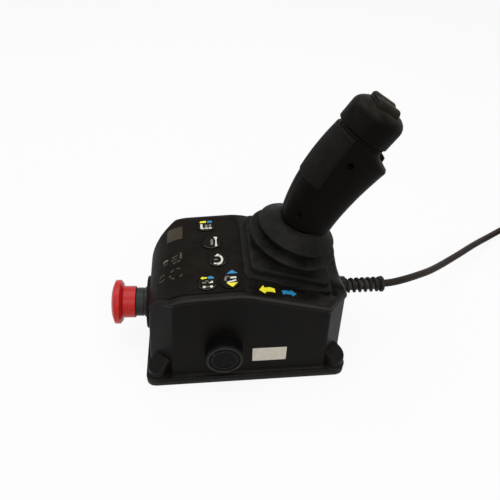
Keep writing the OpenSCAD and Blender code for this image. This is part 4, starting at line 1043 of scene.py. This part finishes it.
def lengthen_cap(cap):
    """Draws the cap out fore and aft beyond the rocker's pocket: x grows by a smooth step of its distance."""
    points, _ = vertex_values(cap)
    along = CAP_X @ np.array([DECK_X, (0, 1, 0), DECK_N])
    x = (points - on_cap([0, 0, 0])) @ along - ROCKER_X
    most = np.where(x > 0, CAP_LONGER_FRONT, -CAP_LONGER_BACK)
    grow = most * smooth((np.abs(x) - ROCKER_HALF_L - 1) / CAP_BLEND)
    move_vertices(cap, points + grow[:, None] * along)


def rocker_shell():
    """The thumb rocker: a lobed profile across (two crests with a valley between) carried fore and aft, with
    rounded ends."""
    y = np.linspace(-ROCKER_HALF_W, ROCKER_HALF_W, 49)
    u = np.abs(y) / ROCKER_HALF_W
    valley = ROCKER_VALLEY * (1 - smooth(u / 0.5))
    crest = ROCKER_RISE - valley - ROCKER_FALL * np.clip((u - 0.62) / 0.38, 0, 1) ** 2.2
    under = [(ROCKER_HALF_W - 0.6, -4), (0, -5.2), (0.6 - ROCKER_HALF_W, -4)]
    outline = np.concatenate([np.column_stack([y, crest]), under])
    place = frame_at((ROCKER_X, 0, CAP_TOP - 0.4), (0, 1, 0), (1, 0, 0))
    return slab(outline[::-1], -ROCKER_HALF_L, ROCKER_HALF_L, lambda p: on_cap(place(p)), ROCKER_EDGE, 6)


def trigger_shell():
    """The trigger: its two-toothed side outline carried across, with rounded edges."""
    place = frame_at(TRIGGER_PIVOT, (1, 0, 0), (0, -1, 0))
    outline = soft_corners(TRIGGER_CORNERS, 5)
    return slab(outline, -TRIGGER_HALF_W, TRIGGER_HALF_W, lambda p: on_stick(place(p)), TRIGGER_EDGE)


lengthen_cap(softened_copy("grip_cap", "stick", GRIP, 0.5))
add_piece("rocker_skin", [rocker_shell()], "rocker", ROCKER, 50, ["rocker"])
add_piece("trigger_skin", [trigger_shell()], "trigger", GRIP, 50, ["trigger"])


# Stop button and sounder, turned from their profiles

button = revolved(soft_corners(STOP_BUTTON, 7, closed=False), on_rear, 96)
collar = revolved(soft_corners(STOP_COLLAR, 4), on_rear, 96, closed=True)
plate = revolved(soft_corners(STOP_PLATE, 6), on_rear, 96, closed=True)
add_piece("stop_button_skin", [button], "stop", STOP_RED, 40, ["stop_button"])
add_piece("stop_collar_skin", [collar], "box", COLLAR, 40, ["stop_collar"])
add_piece("stop_plate_skin", [plate], "box", SOUNDER, 40, ["stop_plate"])

on_sounder = on_near(*SOUNDER_AT)
sounder_body = revolved(soft_corners(SOUNDER_CORNERS, 4, closed=False), on_sounder, 96)
sounder = add_piece("sounder_skin", [sounder_body], "box", SOUNDER, 50, ["sounder_body"])


def ring_painted_highlight(sounder):
    """A painted highlight on the sounder, kept as its rub values: the raised rings above its face."""
    points, _ = vertex_values(sounder)
    out = on_sounder([0, 0, 1]) - on_sounder([0, 0, 0])
    return PAINTED_HIGHLIGHT_MOST * smooth(((points - on_sounder([0, 0, SOUNDER_FACE + 0.3])) @ out) / 0.4)


# The sounder's lighter rings are a painted highlight
set_painted_highlight(sounder, ring_painted_highlight(sounder))


# Overlay and window

def roll_over_shoulder(sheet):
    """Carries a sheet from the frame's shoulder to the rounder one: it is cut across at even steps of the
    outline, and each point moves with its nearest outline point, which keeps its share of the length up to
    the ridge."""
    old = side_outline(*FRAME_SHOULDER)
    run = lengths(old)
    even = np.linspace(0, run[-1], SHOULDER_STATIONS)
    line = walk(old, run, even)
    shift = walk(OUTLINE, OUTLINE_C, even * RIDGE_C / np.interp(RIDGE[0], old[:, 0], run)) - line
    work = bmesh.new()
    work.from_mesh(sheet.data)
    for k in SHOULDER_CUTS:
        (x, z), across = line[k] * MM, line[k + 1] - line[k]
        bmesh.ops.bisect_plane(work, geom=[*work.verts, *work.edges, *work.faces], dist=1e-7,
                               plane_co=(x, 0, z), plane_no=(across[0], 0, across[1]))
    work.to_mesh(sheet.data)
    work.free()
    points, _ = vertex_values(sheet)
    near = np.argmin(np.linalg.norm(points[:, None, ::2] - line, axis=2), axis=1)
    points[:, ::2] += shift[near]
    move_vertices(sheet, points)


roll_over_shoulder(softened_copy("panel_overlay", "box", OVERLAY, 0.2))
roll_over_shoulder(softened_copy("display_window", "box", WINDOW, 0.15))


# Cable: gland, spiral relief, cord, coil, plug

def relief_shells():
    """The spiral relief: a helix whose last turn lies flat, a ring at its end, and a sleeve on the cord."""
    t = np.linspace(0, 1, 500)
    spin = 2 * np.pi * RELIEF_TURNS * t
    share = np.clip(t * (RELIEF_TURNS + 1) / RELIEF_TURNS, 0, 1) ** 0.98
    helix = np.stack([RELIEF_R * np.cos(spin), RELIEF_R * np.sin(spin),
                      RELIEF_FROM + (RELIEF_TO - RELIEF_FROM) * share], -1)
    a = np.linspace(0, 2 * np.pi, 73)
    ring = np.stack([RELIEF_RING_R * np.cos(a), RELIEF_RING_R * np.sin(a), np.full(73, RELIEF_RING_AT)], -1)
    return [swept(on_gland(helix), RELIEF_WIRE_R, 16), swept(on_gland(ring), RELIEF_RING_WIRE_R, 16),
            revolved(RELIEF_SLEEVE, on_gland, 40, closed=True)]


def cord_path():
    """The cord's line: the lead, a coil whose turns step smoothly from one place to the next, and a tail
    that drops to the plug."""
    spin = np.arange(0, COIL_SPIN + 1, COIL_ARC)
    turns = np.array(COIL_TURNS)
    place = turns[0] + np.zeros((len(spin), 2))
    for k, move in enumerate(np.diff(turns, axis=0)):
        place += move * smooth((spin - COIL_FIRST_STEP - COIL_STEP_EVERY * k) / COIL_STEP_RUN)[:, None]
    azimuth = np.radians(COIL_START - spin)
    radius, height = place.T
    coil = np.stack([radius * np.cos(azimuth), radius * np.sin(azimuth), height], -1) + COIL_CENTRE
    return curve_through(np.concatenate([CORD_LEAD, coil, CORD_TAIL + COIL_CENTRE]), CORD_STEP)


softened_copy("cable_gland", "box", GLAND, 0.5)
add_piece("spiral_skin", relief_shells(), "box", GLAND, 60, ["spiral_relief"])
CORD_PATH = cord_path()
cord = add_piece("cord_skin", [swept(CORD_PATH, CORD_D / 2)], "box", CORD, 60,
                 ["cord_lead", "cord_coil"])
plug = softened_copy("cord_plug", "box", GLAND, 1.2)
tie = softened_copy("cord_tie", "box", GASKET, 0.4)
on_gland([0, 0, RELIEF_FROM]) * MM


# Printed marks

def bar(x, y, length, width, turn=0.0):
    """A rectangle's outline about (x, y)."""
    return spun(np.array([(-1, -1), (1, -1), (1, 1), (-1, 1)]) * (length / 2, width / 2), turn) + (x, y)


def triangle(x, y, width, height):
    """A triangle's outline about (x, y), pointing up, or down with a negative height."""
    way = 1 if height > 0 else -1
    return np.array([(-width / 2, -height / 2), (width / 2, -height / 2), (0, height / 2)])[::way] + (x, y)


def arrow(x, y, length, width, way):
    """A broad arrow's outline along X from its tail, with a head as wide as the width; way is 1 or -1."""
    end, neck, half, shaft = length / 2, length / 2 - 0.45 * length, width / 2, 0.45 * width / 2
    shape = np.array([(-end, -shaft), (neck, -shaft), (neck, -half), (end, 0), (neck, half), (neck, shaft),
                      (-end, shaft)])
    return (shape * (way, 1))[::way] + (x, y)


def bent_arrow(x, y, size, way, turn):
    """A broad arrow whose body bows upward, along X about (x, y), turned by an angle; way is 1 or -1."""
    shape = np.array([(7.4, -0.8), (2.3, 4.8), (2.1, 2.2), (-3.6, 3.0), (-7.2, 1.6), (-6.6, -3.4),
                      (-3.8, -2.2), (1.9, -2.6), (2.7, -4.8)]) * size
    return spun((shape * (way, 1))[::-way], turn) + (x, y)


def arc_band(x, y, radius, width, start, end, tall=1.0):
    """A band of an arc's outline between two angles, stretched along Y by tall."""
    a = np.radians(np.linspace(start, end, 28))
    ray = np.stack([np.cos(a), np.sin(a)], -1)
    return np.concatenate([(radius + width / 2) * ray, (radius - width / 2) * ray[::-1]]) * (1, tall) + (x, y)


def disc(x, y, radius):
    """A circle's outline."""
    return arc_band(x, y, radius, 0, 0, 360)[:27]


def printed(name, outlines, place, lift, body, look):
    """Marks printed on a surface, and painted highlights drawn the same way: thin plates over their outlines.
    """
    plates = [slab(outline, lift - PRINT_SUNK, lift + PRINT_T, place) for outline in outlines]
    return add_piece(name, plates, body, look, crease=30)


# Keys with their signs

KEY_MARKS = {
    "high_torque": {
        YELLOW_INK: [bar(-3.1, 4.5, 5.6, 2.5)],
        BLUE_INK: [bar(2.9, 4.3, 4.4, 2.4)],
        WHITE_INK: [bar(-4.5, -1.5, 2.0, 6.2), bar(-3.7, -4.7, 3.6, 1.6), bar(0, -4.7, 2.6, 1.5),
                    bar(3.3, -4.7, 2.8, 1.5)],
        GREY_INK: [bar(-0.2, -1.6, 2.3, 4.0), bar(3.2, -1.4, 2.0, 4.6)]},
    "horn": {
        GREY_INK: [rounded(bar(0.2, -0.2, 2.1, 7.6), 1.0, 4)],
        WHITE_INK: [np.array([(4.6, 6.4), (5.2, 5.4), (4.5, 3.2), (4.3, 0.4), (4.6, -6.0), (2.8, -6.0),
                              (3.3, 0.4), (3.1, 3.2), (1.8, 6.6)])]},
    "speed": {
        WHITE_INK: [arc_band(0, -0.4, 3.6, 1.6, -100, 75, 1.42), triangle(0.0, 5.5, 5.4, 3.2),
                    bar(-2.2, -4.9, 2.6, 1.6, -14)],
        GREY_INK: [bar(-1.7, -0.2, 2.9, 1.3)]},
    "drive": {
        YELLOW_INK: [arrow(-3.0, 5.3, 5.6, 3.6, -1)],
        BLUE_INK: [rounded(bar(3.0, 5.3, 5.2, 2.8), 0.9, 4)],
        WHITE_INK: [np.array([(0.6, -0.8), (4.6, -0.8), (4.3, 1.6)]), disc(-2.6, -4.8, 1.25),
                    disc(3.2, -4.8, 1.25)],
        GREY_INK: [bar(-2.4, 0, 3.2, 1.5), bar(-0.2, 1.6, 2.4, 1.0, -18), bar(0.3, -4.8, 3.0, 1.1)]},
    "lift": {
        YELLOW_INK: [triangle(1.5, -4.7, 9.2, -4.8)],
        WHITE_INK: [bar(2.6, 3.5, 5.0, 1.9), bar(1.1, -0.6, 7.6, 1.5, 15)],
        GREY_INK: [bar(-3.6, 3.0, 1.6, 4.8, -10), bar(-2.2, 5.0, 3.0, 1.3)]},
}
LIT_RIMS = ("high_torque", "horn", "speed", "drive")


def key_shell(spot):
    """One key: a low button with a fine raised rim round its flat face, on its stem."""
    rim = [(0.1, 0.7), (0, 0.8), (0, 1.3), (0.1, 1.48), (0.25, KEY_RIM), (0.45, KEY_RIM), (0.6, 1.48),
           (0.75, KEY_FACE + 0.04), (0.95, KEY_FACE)]
    profile = [(0.1, KEY_STEM_LOW), (KEY_STEM_R, KEY_STEM_LOW), (KEY_STEM_R, 0.7)]
    profile += [(KEY_R - inset, height) for inset, height in rim]
    profile += [(radius, KEY_FACE) for radius in (6, 4.5, 3, 1.5, 0.1)]
    return revolved(profile, lambda points: on_panel(points + (*spot, 0)))


for key, inks in KEY_MARKS.items():
    spot, body = KEY_SPOTS[key], f"key_{key}"
    add_piece(f"{body}_skin", [key_shell(spot)], body, KEY, 40, [body])
    for look, outlines in inks.items():
        name = f"{key}_{look.name.split('_')[0]}_mark"
        printed(name, [outline + spot for outline in outlines], on_panel, KEY_FACE, body, look)

# Painted highlights: dim printed arcs on the near rims of four keys stand in for the little light they catch
for key in LIT_RIMS:
    arc = arc_band(*KEY_SPOTS[key], KEY_R - 0.35, 0.5, 210, 330)
    printed(f"{key}_rim_mark", [arc], on_panel, KEY_RIM, f"key_{key}", DIM_INK_AND_HIGHLIGHT)

# Signs printed on the overlay: the lift key's upper triangle, and dim lamps on the shoulder
lift_x, lift_y = KEY_SPOTS["lift"]
lift_triangle = triangle(lift_x + 2.0, lift_y + 10.9, 9.4, 4.4)
dim_bars = [bar(-57.8, -0.6, 5.4, 1.5, 20), bar(-58.2, -4.2, 5.4, 1.3, 20), bar(-56.0, -7.6, 6.6, 1.5, 18),
            bar(-52.3, -0.8, 1.9, 7.6)]
dim_arcs = [arc_band(-66.4, -3.6, 2.4, 1.0, 190, 330), arc_band(-69.4, -20.6, 3.2, 1.0, 40, 160),
            arc_band(-69.4, -20.6, 3.2, 1.0, 200, 320)]
dim_arcs += [arc_band(-56, -21.6, 5.6, 1.3, turn - 16, turn + 16) for turn in (70, 130, 195, 240, 320)]
lamp_arc = arc_band(-66.4, -3.6, 2.4, 1.5, 30, 165)
printed("lift_blue_mark", [lift_triangle], on_panel, OVERLAY_T, "box", BLUE_INK)
printed("dim_signs", [o + (SIGN_SHIFT, 0) for o in dim_bars + dim_arcs], on_top, OVERLAY_T, "box", DIM_INK_AND_HIGHLIGHT)
printed("lamp_sign", [lamp_arc + (SIGN_SHIFT, 0)], on_top, OVERLAY_T, "box", GREY_INK)


# Deck strip with the two travel arrows, and the bare label on the near wall

def on_bank(points):
    """The deck's frame with its banks: level under the boot's foot, and from there in a straight line up to
    the lip, whose rise is read by angle about the joystick."""
    points = np.asarray(points, float)
    away = points[..., :2] - (STICK_S, STICK_T)
    angle, far = np.arctan2(away[..., 1], away[..., 0]), np.linalg.norm(away, axis=-1)
    lip_angle, lip_far = np.arctan2(LIP_EDGE[:, 1], LIP_EDGE[:, 0]), np.linalg.norm(LIP_EDGE[:, :2], axis=1)
    reach, rise = (np.interp(angle, lip_angle, v, period=2 * np.pi) for v in (lip_far, LIP_EDGE[:, 2]))
    foot = FOOT_HALF / np.maximum(np.abs(np.cos(angle)), np.abs(np.sin(angle)))
    lift = rise * np.clip((far - foot) / (reach - foot), 0, 1)
    return on_deck(points) + lift[..., None] * (0, 0, 1)


def deck_strip_shell():
    """The strip: a four-cornered patch, straight between its corners, that lies on the deck's near bank."""
    u, v = np.linspace(0, 1, 41)[:, None, None], np.linspace(0, 1, 13)[None, :, None]
    near, far = ((1 - u) * ends[0] + u * ends[1] for ends in (STRIP_NEAR, STRIP_FAR))
    flat = (1 - v) * near + v * far
    top, under = (np.concatenate([flat, np.full((41, 13, 1), h)], axis=2) for h in (STRIP_T, -PRINT_SUNK))
    return grid(on_bank(np.concatenate([top, under[:, ::-1]], axis=1)), cap_ends=True)


add_piece("deck_strip", [deck_strip_shell()], "box", OVERLAY, 30)
printed("deck_yellow_arrow", [bent_arrow(19.7, -42.3, 0.99, -1, 8)], on_bank, ARROW_LIFT, "box", YELLOW_INK)
printed("deck_blue_arrow", [bent_arrow(39.2, -41.8, 0.9, 1, 4)], on_bank, ARROW_LIFT, "box", BLUE_INK)
label = slab(rounded(LABEL_CORNERS, LABEL_R, steps=4), -PRINT_SUNK, LABEL_T, on_near(*LABEL_AT))
add_piece("wall_label", [label], "box", LABEL, crease=30)


# Frame nodes that stay as they are

for row in frame["record"]["subparts"]:
    node = NODES[row["node"]]
    node.data.materials.clear()
    node.data.materials.append(FINISHES[row["material_slot"]])
# The grip's screws take painted shade: a near-black dull finish for the bottoms of their wells
NODES["grip_screws"].data.materials[0] = SCREW_IN_PAINTED_SHADE


# Floor, light and camera

def seen_ray(tree):
    """1 for the rays that show the surroundings: camera, glossy and transmission rays."""
    path = add_node(tree, "LightPath").outputs
    seen = reckon(tree, "MAXIMUM", path["Is Camera Ray"], path["Is Glossy Ray"])
    return reckon(tree, "MAXIMUM", seen, path["Is Transmission Ray"])


def studio_floor():
    """A wide pale floor that shows white to the camera and keeps a soft shadow."""
    material = bpy.data.materials.new("studio_floor")
    material.use_nodes = True
    tree = material.node_tree
    shader = tree.nodes["Principled BSDF"]
    shader.inputs["Base Color"].default_value = (FLOOR_TONE, FLOOR_TONE, FLOOR_TONE, 1)
    shader.inputs["Roughness"].default_value = 0.9
    shader.inputs["Specular IOR Level"].default_value = 0.0
    glow = add_node(tree, "Emission", {"Color": (1, 1, 1, 1), "Strength": 1.0})
    seen = reckon(tree, "MULTIPLY", seen_ray(tree), FLOOR_GLOW)
    both = add_node(tree, "MixShader", {0: seen, 1: shader.outputs[0], 2: glow.outputs[0]})
    tree.links.new(both.outputs[0], tree.nodes["Material Output"].inputs["Surface"])
    corners = [(x * FLOOR_HALF, y * FLOOR_HALF, 0) for x, y in ((-1, -1), (1, -1), (1, 1), (-1, 1))]
    mesh = bpy.data.meshes.new("studio_floor")
    mesh.from_pydata(corners, [], [(0, 1, 2, 3)])
    mesh.materials.append(material)
    place_in_scene("studio_floor", mesh)


def studio_world():
    """An even pale surround that lights softly and shows white to the camera and in reflections."""
    world = bpy.data.worlds.new("studio_world")
    bpy.context.scene.world = world
    world.use_nodes = True
    tree = world.node_tree
    fill = tree.nodes["Background"]
    fill.inputs["Color"].default_value = (1, 1, 1, 1)
    fill.inputs["Strength"].default_value = WORLD_LEVEL
    white = add_node(tree, "Background", {"Color": (1, 1, 1, 1), "Strength": 1.0})
    both = add_node(tree, "MixShader", {0: seen_ray(tree), 1: fill.outputs[0], 2: white.outputs[0]})
    tree.links.new(both.outputs[0], tree.nodes["World Output"].inputs["Surface"])


def looking(eye, aim, roll=0.0):
    """The matrix of a camera or lamp at an eye point that looks at its aim, rolled by an angle."""
    back = unit(eye - aim)
    right = unit(np.cross((0, 0, 1.0), back))
    up = np.cross(back, right)
    c, s = math.cos(math.radians(roll)), math.sin(math.radians(roll))
    matrix = np.eye(4)
    matrix[:3, :3] = np.stack([c * right + s * up, c * up - s * right, back], -1)
    matrix[:3, 3] = eye
    return Matrix(matrix.tolist())


def studio_lamp(name, place, size, power):
    """A soft square lamp at a place, turned to the box, in metres and watts."""
    lamp = bpy.data.lights.new(name, "AREA")
    lamp.shape = "SQUARE"
    lamp.size = size
    lamp.energy = power
    thing = place_in_scene(name, lamp)
    thing.matrix_world = looking(np.array(place), np.array(LAMP_AIM))


def photo_camera():
    """The camera of the photograph, at a distance from its target along its azimuth and elevation."""
    azimuth, elevation = math.radians(CAMERA_AZIMUTH), math.radians(CAMERA_ELEVATION)
    back = np.array([math.sin(azimuth) * math.cos(elevation), -math.cos(azimuth) * math.cos(elevation),
                     math.sin(elevation)])
    camera = bpy.data.cameras.new("photo_camera")
    camera.sensor_width = 36
    camera.lens = CAMERA_LENS
    camera.clip_start = 0.01
    thing = place_in_scene("photo_camera", camera)
    eye = CAMERA_TARGET + CAMERA_DISTANCE * back
    thing.matrix_world = looking(eye * MM, CAMERA_TARGET * MM, CAMERA_ROLL)
    bpy.context.scene.camera = thing


studio_floor()
studio_world()
studio_lamp("top_lamp", (-0.15, 0.25, 1.25), 1.0, 9)
studio_lamp("front_lamp", (0.28, -1.0, 1.05), 0.6, 7)
photo_camera()
bpy.context.scene.view_settings.view_transform = "Standard"
